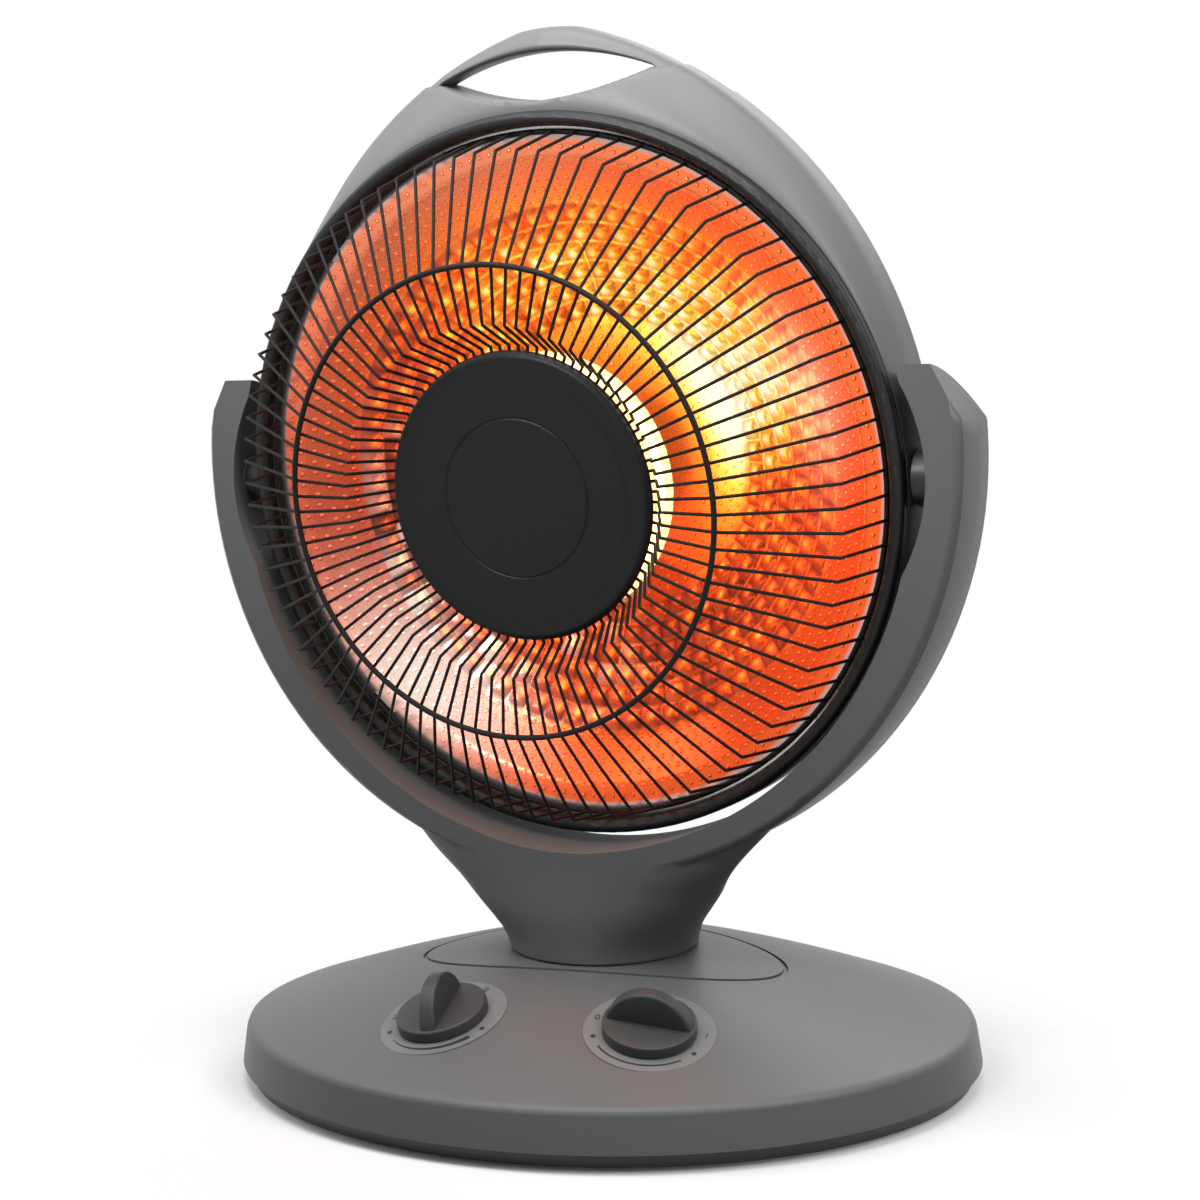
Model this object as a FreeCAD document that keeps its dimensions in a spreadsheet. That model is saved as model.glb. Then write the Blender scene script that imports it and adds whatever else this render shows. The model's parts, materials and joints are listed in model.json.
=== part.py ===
"""Free-standing halogen dish heater with a swivelling yoke and a tilting head.

Millimetres, +Z up, the front of the base faces -Y. The origin is on the floor, under the swivel axis.
The stored pose is a heater in use: the head is swung a little to one side and looks slightly down.
"""
import FreeCAD, Part
import math
import os
import Sketcher

Vector = FreeCAD.Vector
Rotation = FreeCAD.Rotation
Placement = FreeCAD.Placement
X_AXIS = Vector(1, 0, 0)
Y_AXIS = Vector(0, 1, 0)
Z_AXIS = Vector(0, 0, 1)

# Driving dimensions: name, size in millimetres (angles in degrees), meaning
DIMENSIONS = [
    ("base_half_width", 182.7, "base oval, half of its width"),
    ("base_half_depth", 152.8, "base oval, half of its depth"),
    ("foot_proud", 2, "how far the feet stand below the base plate"),
    ("foot_radius", 11, "rubber foot radius"),
    ("foot_socket", 2.5, "depth of the socket that holds a foot"),
    ("foot_x", 118, "foot centre, sideways"),
    ("foot_y", 76, "foot centre, front and back"),
    ("plate_thickness", 6.7, "base plate thickness"),
    ("plate_taper", 2.9, "how far the plate's edge draws in towards its underside"),
    ("plate_inset", 1.6, "base plate edge, inside the cover's edge"),
    ("wall_lean", 2.4, "how far the cover's wall leans in up to its rim"),
    ("rim_height", 20, "height of the cover's upright wall and rounded rim"),
    ("rim_round", 4, "rounding of the cover's rim"),
    ("cover_wall", 2.5, "base cover wall"),
    ("dome_top", 61.7, "height of the flat seat on top of the dome"),
    ("dome_power", 1.3, "swell of the dome between rim and seat"),
    ("neck_radius", 46.1, "neck radius at its lower end"),
    ("base_screw_x", 132, "base screw, sideways"),
    ("base_screw_y", 48, "base screw, front and back"),
    ("boss_radius", 5, "screw boss radius"),
    ("screw_radius", 1.5, "screw shank radius"),
    ("screw_head_radius", 3.1, "screw head radius"),
    ("screw_head_height", 2.4, "screw head height"),
    ("screw_length", 14, "screw shank length"),
    ("fit_gap", 0.05, "radial clearance of a running fit"),
    ("loose_gap", 0.4, "clearance round a piece that passes freely"),
    ("knob_x", 49.5, "knob axis on the dome, sideways"),
    ("knob_y", 90, "knob axis on the dome, towards the front"),
    ("dial_radius", 30, "dial plate radius"),
    ("dial_thickness", 0.8, "dial plate thickness"),
    ("dial_sink", 1.4, "dial seat, below the dome's own surface"),
    ("dial_pad", 3.5, "thickness of the cover under a dial plate"),
    ("knob_radius", 21.5, "knob disc radius"),
    ("knob_disc", 6, "knob disc height"),
    ("knob_gap", 0.6, "gap between knob and dial plate"),
    ("grip_thickness", 8, "knob grip thickness"),
    ("grip_height", 19, "knob grip height above the disc's underside"),
    ("grip_inset", 1, "knob grip ends, inside the disc's edge"),
    ("knob_bore_depth", 10, "depth of the shaft's socket in a knob"),
    ("shaft_radius", 3, "switch shaft radius"),
    ("switch_radius", 15, "rotary switch radius"),
    ("switch_length", 17, "rotary switch length"),
    ("switch_floor", 3, "closed end of a rotary switch"),
    ("shaft_end_gap", 1, "gap under a switch shaft"),
    ("bush_flange", 1.2, "swivel bush flange thickness"),
    ("bush_inset", 1.6, "swivel bush flange edge, inside the neck's edge"),
    ("bush_wall", 4, "swivel bush wall"),
    ("bush_length", 17.5, "swivel bush length below its flange"),
    ("spigot_radius", 24, "swivel spigot radius"),
    ("spigot_bore", 15, "swivel spigot bore radius, for the leads"),
    ("spigot_flange_radius", 36, "swivel spigot flange radius"),
    ("spigot_flange", 4, "swivel spigot flange thickness"),
    ("washer_thickness", 2, "thrust washer thickness"),
    ("washer_radius", 33, "thrust washer radius"),
    ("gear_module", 2, "gear tooth module"),
    ("gear_teeth", 48, "swivel gear teeth in a full turn"),
    ("pinion_teeth", 12, "motor pinion teeth"),
    ("gear_backlash", 0.35, "tooth thinning of both gears"),
    ("gear_thickness", 7, "swivel gear thickness"),
    ("gear_hub_radius", 32, "swivel gear hub radius"),
    ("gear_half_sector", 50, "toothed sector, half of its angle"),
    ("gear_screw_circle", 19.5, "radius of the gear's screw circle"),
    ("motor_radius", 24, "motor can radius"),
    ("motor_height", 17, "motor can height"),
    ("motor_boss_radius", 8, "motor bearing boss radius"),
    ("motor_boss", 3, "motor bearing boss height"),
    ("motor_ear_span", 62, "motor flange, end to end"),
    ("motor_ear_width", 13, "motor flange width"),
    ("motor_ear", 3, "motor flange thickness"),
    ("motor_screw_x", 27.4, "motor screw, sideways"),
    ("motor_screw_length", 8, "motor screw shank length"),
    ("ballast_width", 190, "ballast plate width"),
    ("ballast_depth", 84, "ballast plate depth"),
    ("ballast_thickness", 6, "ballast plate thickness"),
    ("ballast_front", 112, "front edge of the ballast plate"),
    ("terminal_width", 44, "terminal block width"),
    ("terminal_depth", 18, "terminal block depth"),
    ("terminal_height", 9, "terminal block height"),
    ("terminal_left", 92, "left end of the terminal block"),
    ("terminal_front", 62, "front of the terminal block"),
    ("tower_width", 11, "terminal tower width"),
    ("tower_depth", 13, "terminal tower depth"),
    ("tower_height", 7, "terminal tower height"),
    ("tower_pitch", 14, "spacing of the terminal towers"),
    ("tower_margin", 2, "terminal tower, from the block's left end"),
    ("tilt_width", 26, "tip-over switch width"),
    ("tilt_depth", 20, "tip-over switch depth"),
    ("tilt_height", 22, "tip-over switch height"),
    ("tilt_left", 62, "left side of the tip-over switch"),
    ("tilt_front", 60, "front of the tip-over switch"),
    ("tilt_flange", 9, "how far the tip-over switch's foot stands out on each side"),
    ("tilt_foot", 3, "thickness of the tip-over switch's foot"),
    ("groove_half_width", 90, "oval groove on the base cover, half of its width"),
    ("groove_half_depth", 45, "oval groove on the base cover, half of its depth"),
    ("groove_ahead", 4.5, "middle of the oval groove, ahead of the swivel axis"),
    ("groove_width", 2.2, "width of the oval groove"),
    ("groove_depth", 0.9, "depth of the oval groove"),
    ("gland_radius", 7, "cord gland radius"),
    ("gland_bore", 3.5, "cord gland bore radius"),
    ("gland_length", 16, "cord gland length"),
    ("gland_height", 18, "cord gland height above the floor"),
    ("rest_swing", -9.5, "swing of the yoke on its base in the stored pose"),
    ("rest_tilt", 6.5, "downward tilt of the head in the stored pose"),
    ("pivot_y", -19, "tilt axis, front to back"),
    ("pivot_height", 290.4, "tilt axis height"),
    ("yoke_radius", 197.5, "yoke's outer curve"),
    ("yoke_rise", 9.6, "centre of the yoke's outer curve, above the tilt axis"),
    ("yoke_inner_radius", 181.5, "yoke's inner side at its arms, sideways from the tilt axis"),
    ("yoke_inner_depth", 175.2, "yoke's inner side below its arms, from the tilt axis"),
    ("arm_room_depth", 120, "oval room between the arms, straight down from the tilt axis"),
    ("yoke_front", 21, "front face of the arms, ahead of the tilt axis"),
    ("yoke_back", 21, "back face of the arms, behind the tilt axis"),
    ("yoke_bevel", 4, "bevel along the outer edges of the arms"),
    ("yoke_wall", 2.6, "yoke shell wall"),
    ("arm_shoulder_x", 194, "slanting corner of an arm's tip, sideways"),
    ("arm_shoulder_rise", 31, "slanting corner of an arm's tip, above the tilt axis"),
    ("arm_shoulder_slant", 28, "slant of the corner of an arm's tip"),
    ("arm_rise", 49.6, "arm tips above the tilt axis"),
    ("arm_lead", 4, "centre of the tip's back curve, ahead of the front face"),
    ("arm_curve", 46, "height of the curve at the back of an arm's tip"),
    ("neck_length", 39.6, "neck, from its seat to the hoop, that its section heights hold for"),
    ("neck_level_1", 11.1, "neck section 1, height above its seat"),
    ("neck_half_width_1", 51.5, "neck section 1, half of its width"),
    ("neck_half_depth_1", 42, "neck section 1, half of its depth"),
    ("neck_ahead_1", 4, "neck section 1, ahead of the swivel axis"),
    ("neck_level_2", 21.6, "neck section 2, height above its seat"),
    ("neck_half_width_2", 60.5, "neck section 2, half of its width"),
    ("neck_half_depth_2", 36, "neck section 2, half of its depth"),
    ("neck_ahead_2", 10, "neck section 2, ahead of the swivel axis"),
    ("neck_level_3", 32.6, "neck section 3, height above its seat"),
    ("neck_half_width_3", 69.5, "neck section 3, half of its width"),
    ("neck_half_depth_3", 30.5, "neck section 3, half of its depth"),
    ("neck_ahead_3", 14.5, "neck section 3, ahead of the swivel axis"),
    ("neck_level_4", 43.6, "neck section 4, height above its seat"),
    ("neck_half_width_4", 78, "neck section 4, half of its width"),
    ("neck_half_depth_4", 22.5, "neck section 4, half of its depth"),
    ("neck_ahead_4", 21.5, "neck section 4, ahead of the swivel axis"),
    ("neck_level_5", 58.1, "neck section 5, height above its seat"),
    ("neck_half_width_5", 91, "neck section 5, half of its width"),
    ("neck_half_depth_5", 21, "neck section 5, half of its depth"),
    ("neck_ahead_5", 22.5, "neck section 5, ahead of the swivel axis"),
    ("neck_level_6", 71.1, "neck section 6, height above its seat"),
    ("neck_half_width_6", 104, "neck section 6, half of its width"),
    ("neck_half_depth_6", 19, "neck section 6, half of its depth"),
    ("neck_ahead_6", 23.5, "neck section 6, ahead of the swivel axis"),
    ("yoke_split", 4.5, "joint of the yoke shells, behind the tilt axis"),
    ("yoke_screw_low", 40, "lower yoke screws, angle from straight down"),
    ("yoke_screw_high", 72, "upper yoke screws, angle from straight down"),
    ("pivot_radius", 4, "pivot bolt radius"),
    ("pivot_head_radius", 7, "pivot bolt head radius"),
    ("pivot_head", 2.6, "pivot bolt head thickness"),
    ("pivot_pad_radius", 13, "pivot boss radius"),
    ("pivot_pad", 8, "pivot boss length inside an arm"),
    ("washer_play", 1, "room beside a friction washer"),
    ("friction_washer", 1.5, "friction washer thickness"),
    ("trunnion_flange", 7, "trunnion bush flange outside the head"),
    ("trunnion_radius", 8.5, "trunnion bush radius inside the head"),
    ("trunnion_length", 9, "trunnion bush length inside the head"),
    ("ring_forward", 11.4, "front of the head, ahead of the tilt axis"),
    ("head_radius", 172, "head housing radius"),
    ("arch_shift", 41.5, "how far the arch arcs' centres pass the middle, at the back edge"),
    ("face_radius", 171, "front face radius"),
    ("face_shift", 12, "how far the arch arcs' centres pass the middle, at the front face"),
    ("face_bevel", 18, "depth of the sloping edge round the front face"),
    ("bezel_depth", 32, "front bezel depth"),
    ("bezel_wall", 2.5, "front bezel wall"),
    ("opening_radius", 163, "front opening radius"),
    ("handle_top", 207, "top of the carrying handle above the head's centre"),
    ("handle_curve", 106, "radius of the handle's top"),
    ("handle_foot", 187, "height where the handle's top curve begins"),
    ("grip_centre", 185, "finger opening, height of its middle"),
    ("grip_half_width", 55, "finger opening, half of its width"),
    ("grip_half_height", 10.65, "finger opening, half of its height"),
    ("grip_floor", 169, "height up to which the bezel is hollow"),
    ("flange_thickness", 2.5, "rear cover flange thickness"),
    ("bowl_radius", 162, "rear cover bowl radius at its mouth"),
    ("bowl_back_radius", 70, "rear cover's flat back radius"),
    ("bowl_depth", 58, "rear cover bowl depth behind its flange"),
    ("bowl_curve", 120, "radius of the bowl's curved wall"),
    ("bowl_wall", 2.5, "rear cover wall"),
    ("vent_count", 28, "vent slots round the bowl"),
    ("vent_width", 5, "vent slot width"),
    ("vent_inner", 82, "inner end of the vent slots"),
    ("vent_outer", 128, "outer end of the vent slots"),
    ("post_radius", 5, "bracket post radius"),
    ("post_circle", 34, "radius of the bracket post circle"),
    ("bezel_screw_circle", 166, "radius of the bezel screw circle"),
    ("lip_inner", 163.4, "guard lip inner radius"),
    ("lip_outer", 170, "guard lip outer radius"),
    ("lip_height", 7, "guard lip height ahead of the front face"),
    ("lip_round", 3, "guard lip rounding"),
    ("reflector_flange", 167, "reflector flange radius"),
    ("reflector_mouth", 150, "reflector dish radius at its mouth"),
    ("reflector_depth", 63, "reflector dish depth"),
    ("reflector_floor", 34, "flat floor of the dish, radius"),
    ("reflector_curve", 205, "radius of the dish's curve"),
    ("reflector_sheet", 1, "reflector sheet thickness"),
    ("guard_count", 90, "guard wires"),
    ("guard_wire", 0.75, "guard wire radius"),
    ("guard_ring_wire", 1.3, "guard ring wire radius"),
    ("guard_edge_radius", 160.6, "guard radius at its edge"),
    ("guard_edge_depth", 2, "guard wire ends ahead of the front face"),
    ("guard_bend_inset", 6.6, "guard's bend, inside its edge"),
    ("guard_bend_depth", 36, "guard depth at its bend"),
    ("guard_mid_radius", 106.5, "guard radius at its middle ring"),
    ("guard_mid_depth", 61.8, "guard depth at its middle ring"),
    ("guard_crest_radius", 80, "guard radius where it turns in to the hub"),
    ("guard_crest_depth", 61, "guard depth where it turns in to the hub"),
    ("guard_hub_depth", 39, "guard depth under the hub"),
    ("guard_tuck", 9, "length of the wires held between hub and hub plate"),
    ("guard_hub_lead", 2, "how far the wires lie flat outside the hub"),
    ("clip_width", 14, "guard clip width"),
    ("clip_thickness", 4, "guard clip thickness"),
    ("hub_radius", 66.6, "hub radius"),
    ("hub_height", 5.5, "hub height above the wires"),
    ("hub_round", 4, "hub edge rounding"),
    ("hub_step_radius", 55, "radius of the hub's shallow step"),
    ("hub_step", 1.2, "height of the hub's shallow step"),
    ("hub_groove_radius", 36.5, "radius of the hub's ring groove"),
    ("hub_groove", 1, "depth and half-width of the hub's ring groove"),
    ("hub_sheet", 2, "hub wall"),
    ("hub_plate_radius", 60, "hub plate radius"),
    ("hub_plate", 1.5, "hub plate thickness"),
    ("hub_screw_head", 5, "hub screw head radius"),
    ("lamp_radius", 57, "lamp ring radius"),
    ("lamp_tube_radius", 5.5, "lamp tube radius"),
    ("lamp_glass", 1.2, "lamp glass wall"),
    ("lamp_forward", 12, "lamp ring ahead of the front face"),
    ("lamp_gap_angle", 24, "gap of the lamp ring"),
    ("filament_radius", 1.6, "filament coil radius"),
    ("holder_width", 10, "lamp holder width"),
    ("holder_height", 17, "lamp holder height"),
    ("bracket_radius", 66, "lamp bracket radius"),
    ("bracket_sheet", 2, "lamp bracket thickness"),
    ("bracket_gap", 3, "lamp bracket behind the reflector"),
    ("cutout_radius", 8, "thermal cut-out radius"),
    ("cutout_length", 9, "thermal cut-out length"),
]

# Fractions of the way from rim to seat at which the dome has a section
DOME_STEPS = (0.0, 0.2, 0.45, 0.7, 0.88, 1.0)
PRESSURE_ANGLE = math.radians(25)
TOOTH_ADDENDUM = 0.8
TOOTH_DEDENDUM = 1.05
FLANK_POINTS = 4
# Share of a rounding at which its middle facet ends
ROUND_FACET = 0.3
TERMINAL_TOWERS = 3
GEAR_SCREWS = 3
BRACKET_POSTS = 3
GUARD_CLIPS = 4
BEZEL_SCREW_ANGLES = (-150, -110, -70, -30)
# Lengths that only have to reach past what they cut
ROOMY = 600
PAST = 1

doc = FreeCAD.newDocument("halogen_heater")
sheet = doc.addObject("Spreadsheet::Sheet", "sizes")
nodes = {}


class Size:
    """A size that carries its number and the sheet formula that gives it."""

    def __init__(self, number, formula):
        self.number = number
        self.formula = formula

    def joined(self, sign, other, number, swap=False):
        left, right = (other, self) if swap else (self, other)
        return Size(number, f"({left.formula} {sign} {right.formula})")

    def __add__(self, other):
        other = as_size(other)
        return self.joined("+", other, self.number + other.number)

    def __sub__(self, other):
        other = as_size(other)
        return self.joined("-", other, self.number - other.number)

    def __rsub__(self, other):
        other = as_size(other)
        return self.joined("-", other, other.number - self.number, swap=True)

    def __mul__(self, other):
        other = as_size(other)
        return self.joined("*", other, self.number * other.number)

    def __truediv__(self, other):
        other = as_size(other)
        return self.joined("/", other, self.number / other.number)

    def __neg__(self):
        return Size(-self.number, f"(0 - {self.formula})")

    def __float__(self):
        return float(self.number)

    __radd__ = __add__
    __rmul__ = __mul__


def as_size(value):
    if isinstance(value, Size):
        return value
    return Size(float(value), f"({float(value):.9f})")


class Sizes:
    """The driving dimensions by name."""


def fill_sheet():
    """Write the driving dimensions into the sheet, and return them by name."""
    for row, (name, number, meaning) in enumerate(DIMENSIONS, start=1):
        sheet.set(f"A{row}", meaning)
        sheet.set(f"B{row}", str(number))
        sheet.setAlias(f"B{row}", name)
        setattr(Sizes, name, Size(float(number), f"sizes.{name}"))
    doc.recompute()
    return Sizes


S = fill_sheet()

# Heights and places that several pieces share
PLATE_TOP = S.foot_proud + S.plate_thickness
RIM_TOP = PLATE_TOP + S.rim_height
NECK_SEAT = S.dome_top + S.bush_flange
BUSH_END = S.dome_top - S.bush_length
GEAR_TOP = BUSH_END - S.washer_thickness
GEAR_BOTTOM = GEAR_TOP - S.gear_thickness
GEAR_CENTRES = S.gear_module * (S.gear_teeth + S.pinion_teeth) / 2
TRUNNION_FACE = S.yoke_inner_radius - S.friction_washer - S.washer_play
PIVOT_FACE = TRUNNION_FACE + S.friction_washer
HOOP_HEIGHT = S.pivot_height + S.yoke_rise
NECK_STRETCH = (HOOP_HEIGHT - S.yoke_radius - NECK_SEAT) / S.neck_length
BEZEL_BACK = S.bezel_depth
FLANGE_BACK = BEZEL_BACK + S.flange_thickness
BOWL_BACK = FLANGE_BACK + S.bowl_depth
REFLECTOR_FACE = S.bezel_wall
REFLECTOR_FLOOR = REFLECTOR_FACE + S.reflector_depth
BRACKET_FACE = REFLECTOR_FLOOR + S.reflector_sheet + S.bracket_gap
HUB_SEAT = S.guard_hub_depth + S.guard_wire + S.fit_gap
PLATE_FACE = S.guard_hub_depth - S.guard_wire - S.fit_gap


def frames():
    """Placements of base, yoke and head; the head's own origin is the middle of its front face."""
    base = Placement(Vector(), Rotation(Z_AXIS, -float(S.rest_swing)))
    pivot = Vector(0, float(S.pivot_y), float(S.pivot_height))
    tilt = Placement(Vector(), Rotation(X_AXIS, float(S.rest_tilt)), pivot)
    centre = Placement(pivot - Vector(0, float(S.ring_forward), 0), Rotation())
    return base, Placement(), tilt.multiply(centre)


BASE, YOKE, HEAD = frames()
FORWARD = Placement(Vector(), Rotation(X_AXIS, 90))


def bind(obj, **sizes):
    for prop, size in sizes.items():
        obj.setExpression(prop.replace("__", "."), as_size(size).formula)


def at(obj, x=0, y=0, z=0, turn=None):
    """Set an object's place from sizes, after an optional fixed turn."""
    if turn is not None:
        obj.Placement = Placement(Vector(), turn)
    bind(obj, Placement__Base__x=x, Placement__Base__y=y, Placement__Base__z=z)
    return obj


ALONG = {"X": Rotation(Y_AXIS, 90), "Y": Rotation(X_AXIS, -90), "Z": Rotation()}


def cylinder(name, radius, length, x=0, y=0, z=0, along="Z"):
    obj = doc.addObject("Part::Cylinder", name)
    bind(obj, Radius=radius, Height=length)
    return at(obj, x, y, z, ALONG[along])


def box(name, dx, dy, dz, x=0, y=0, z=0):
    obj = doc.addObject("Part::Box", name)
    bind(obj, Length=dx, Width=dy, Height=dz)
    return at(obj, x, y, z)


def torus(name, ring, wire, x=0, y=0, z=0, along="Z"):
    obj = doc.addObject("Part::Torus", name)
    bind(obj, Radius1=ring, Radius2=wire)
    return at(obj, x, y, z, ALONG[along])


def ellipse(name, half_x, half_y, x=0, y=0, z=0, along="Z"):
    """Oval outline; a taller oval is one turned a quarter, because the long half comes first."""
    obj = doc.addObject("Part::Ellipse", name)
    turn = ALONG[along]
    if float(half_x) >= float(half_y):
        bind(obj, MajorRadius=half_x, MinorRadius=half_y)
    else:
        bind(obj, MajorRadius=half_y, MinorRadius=half_x)
        turn = turn.multiply(Rotation(Z_AXIS, 90))
    return at(obj, x, y, z, turn)


def loft(name, sections, ruled):
    obj = doc.addObject("Part::Loft", name)
    obj.Sections = sections
    obj.Solid = True
    obj.Ruled = ruled
    return obj


def extruded(name, outline, direction):
    obj = doc.addObject("Part::Extrusion", name)
    obj.Base = outline
    obj.Dir = direction
    obj.LengthFwd = ROOMY
    obj.Solid = True
    return obj


def fuse(name, *parts):
    obj = doc.addObject("Part::MultiFuse", name)
    obj.Shapes = list(parts)
    return obj


def common(name, *parts):
    obj = doc.addObject("Part::MultiCommon", name)
    obj.Shapes = list(parts)
    return obj


def cut(name, body, *tools):
    tool = tools[0] if len(tools) == 1 else fuse(name + "_tools", *tools)
    obj = doc.addObject("Part::Cut", name)
    obj.Base = body
    obj.Tool = tool
    return obj


def group(name, *parts):
    obj = doc.addObject("Part::Compound", name)
    obj.Links = list(parts)
    return obj


def feature(name, shape):
    obj = doc.addObject("Part::Feature", name)
    obj.Shape = shape
    return obj


def placed(obj, placement):
    """Put an object whose own place comes from the sheet into a turned frame."""
    holder = group(obj.Name + "_placed", obj)
    holder.Placement = placement
    return holder


def node(label, obj, frame=BASE, solids=1):
    """Name a finished sub-part of so many solids and put it into its frame."""
    if obj.isDerivedFrom("Part::Primitive"):
        obj = group(label, obj)
    obj.Label = label
    obj.Placement = frame.multiply(obj.Placement)
    nodes[label] = (obj, solids)


def set_node(label, pieces, frame=BASE):
    """Sub-part of several like pieces."""
    node(label, group(label, *pieces), frame, len(pieces))


def rising_screw(name, x, y, z):
    """Pan-head screw that goes upwards, with its head's seat at z."""
    shank = cylinder(name + "_shank", S.screw_radius, S.screw_length, x, y, z)
    head = cylinder(name + "_head", S.screw_head_radius, S.screw_head_height, x, y, z - S.screw_head_height)
    return fuse(name, shank, head)


def spread(count, first):
    """Angles in radians of pieces spread evenly round a circle, from a first angle in degrees."""
    return [math.radians(first + 360 * index / count) for index in range(count)]


def profile(sketch, points):
    """Closed outline: each point is two sizes, with a signed radius where an arc leads to the next point.

    A positive radius turns left, counter-clockwise. Every corner is held by its two distances from the origin.
    """
    ends = []
    for index, point in enumerate(points):
        after = points[(index + 1) % len(points)]
        start = Vector(float(point[0]), float(point[1]), 0)
        stop = Vector(float(after[0]), float(after[1]), 0)
        if len(point) == 2:
            sketch.addGeometry(Part.LineSegment(start, stop))
            ends.append((1, 2))
            continue
        radius = float(point[2])
        chord = stop - start
        reach = math.sqrt(radius * radius - chord.Length * chord.Length / 4)
        side = Vector(-chord.y, chord.x, 0).normalize() * math.copysign(reach, radius)
        centre = (start + stop) / 2 + side
        first, last = (start, stop) if radius > 0 else (stop, start)
        angles = [math.atan2(p.y - centre.y, p.x - centre.x) for p in (first, last)]
        circle = Part.Circle(centre, Z_AXIS, abs(radius))
        sketch.addGeometry(Part.ArcOfCircle(circle, *angles))
        ends.append((1, 2) if radius > 0 else (2, 1))
    for index, (begin, end) in enumerate(ends):
        following = (index + 1) % len(ends)
        sketch.addConstraint(Sketcher.Constraint("Coincident", index, end, following, ends[following][0]))
    for index, point in enumerate(points):
        begin = ends[index][0]
        for kind, size in zip(("DistanceX", "DistanceY"), point[:2]):
            hold(sketch, Sketcher.Constraint(kind, -1, 1, index, begin, float(size)), size)
        if len(point) == 3:
            bend = point[2] if float(point[2]) > 0 else -as_size(point[2])
            hold(sketch, Sketcher.Constraint("Radius", index, float(bend)), bend)


def hold(sketch, constraint, size):
    index = sketch.addConstraint(constraint)
    sketch.setExpression(f"Constraints[{index}]", as_size(size).formula)


def new_sketch(body, name, plane):
    sketch = body.newObject("Sketcher::SketchObject", name)
    planes = [feature for feature in body.Origin.OriginFeatures if feature.Role == plane]
    sketch.AttachmentSupport = [(planes[0], "")]
    sketch.MapMode = "FlatFace"
    return sketch


def turned(name, points):
    """Body turned about its own Z axis: each point is a radius and a height."""
    body = doc.addObject("PartDesign::Body", name)
    sketch = new_sketch(body, name + "_profile", "XZ_Plane")
    profile(sketch, points)
    doc.recompute()
    spin = body.newObject("PartDesign::Revolution", name + "_turn")
    spin.Profile = sketch
    spin.ReferenceAxis = (sketch, ["V_Axis"])
    spin.Angle = 360
    doc.recompute()
    return body


def dome_point(step, angle):
    """Point of the dome, a blend from the oval rim to the round seat."""
    across = float(S.base_half_width - S.wall_lean - S.rim_round)
    deep = float(S.base_half_depth - S.wall_lean - S.rim_round)
    seat = float(S.neck_radius)
    swell = 1 - (1 - step) ** float(S.dome_power)
    rise = float(S.dome_top - RIM_TOP) * swell
    return Vector(
        (across + (seat - across) * step) * math.cos(angle),
        (deep + (seat - deep) * step) * math.sin(angle),
        float(RIM_TOP) + rise,
    )


def dome_frame(x, y):
    """Placement on the dome over (x, y), with Z along the dome's normal."""
    low, high = 0.0, 1.0
    for _ in range(50):
        step = (low + high) / 2
        across = dome_point(step, 0).x
        deep = dome_point(step, math.pi / 2).y
        inside = (x / across) ** 2 + (y / deep) ** 2 < 1
        low, high = (step, high) if inside else (low, step)
    angle = math.atan2(y / deep, x / across)
    nudge = 1e-4
    uphill = dome_point(step + nudge, angle) - dome_point(step - nudge, angle)
    around = dome_point(step, angle + nudge) - dome_point(step, angle - nudge)
    normal = around.cross(uphill).normalize()
    sunk = dome_point(step, angle) - normal * float(S.dial_sink)
    return Placement(sunk, Rotation(Z_AXIS, normal))


KNOBS = {
    "heat": dome_frame(-float(S.knob_x), -float(S.knob_y)),
    "oscillation": dome_frame(float(S.knob_x), -float(S.knob_y)),
}
FOOT_PLACES = [(sx * S.foot_x, sy * S.foot_y) for sx in (-1, 1) for sy in (-1, 1)]
BASE_SCREW_PLACES = [(sx * S.base_screw_x, sy * S.base_screw_y) for sx in (-1, 1) for sy in (-1, 1)]


def plate_block():
    """Oval plate whose edge draws in towards the floor."""
    sections = []
    ends = (("low", S.plate_inset + S.plate_taper, S.foot_proud), ("high", S.plate_inset, PLATE_TOP))
    for end, inset, level in ends:
        wide = S.base_half_width - inset
        deep = S.base_half_depth - inset
        sections.append(ellipse(f"plate_{end}", wide, deep, z=level))
    return loft("plate_block", sections, ruled=True)


def base_plate():
    plate = plate_block()
    tools = []
    for index, (x, y) in enumerate(FOOT_PLACES):
        tools.append(cylinder(f"foot_socket_{index}", S.foot_radius, S.foot_socket, x, y, S.foot_proud))
    recess = S.screw_head_height + S.loose_gap
    hole = S.screw_radius + S.fit_gap
    sink = S.screw_head_radius + S.loose_gap
    for index, (x, y) in enumerate(BASE_SCREW_PLACES):
        tools.append(cylinder(f"plate_hole_{index}", hole, S.plate_thickness, x, y, S.foot_proud))
        tools.append(cylinder(f"plate_recess_{index}", sink, recess, x, y, S.foot_proud))
    for side in (-1, 1):
        depth = S.motor_screw_length - S.motor_ear
        tools.append(cylinder(f"motor_hole_{side}", S.screw_radius, depth, side * S.motor_screw_x, GEAR_CENTRES,
                              PLATE_TOP - depth))
    node("base_plate", cut("base_plate", plate, *tools))
    feet = [cylinder(f"foot_{index}", S.foot_radius, S.foot_proud + S.foot_socket, x, y)
            for index, (x, y) in enumerate(FOOT_PLACES)]
    set_node("rubber_feet", feet)
    seat = S.foot_proud + recess
    screws = [rising_screw(f"base_screw_{index}", x, y, seat) for index, (x, y) in enumerate(BASE_SCREW_PLACES)]
    set_node("base_screws", screws)


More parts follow.
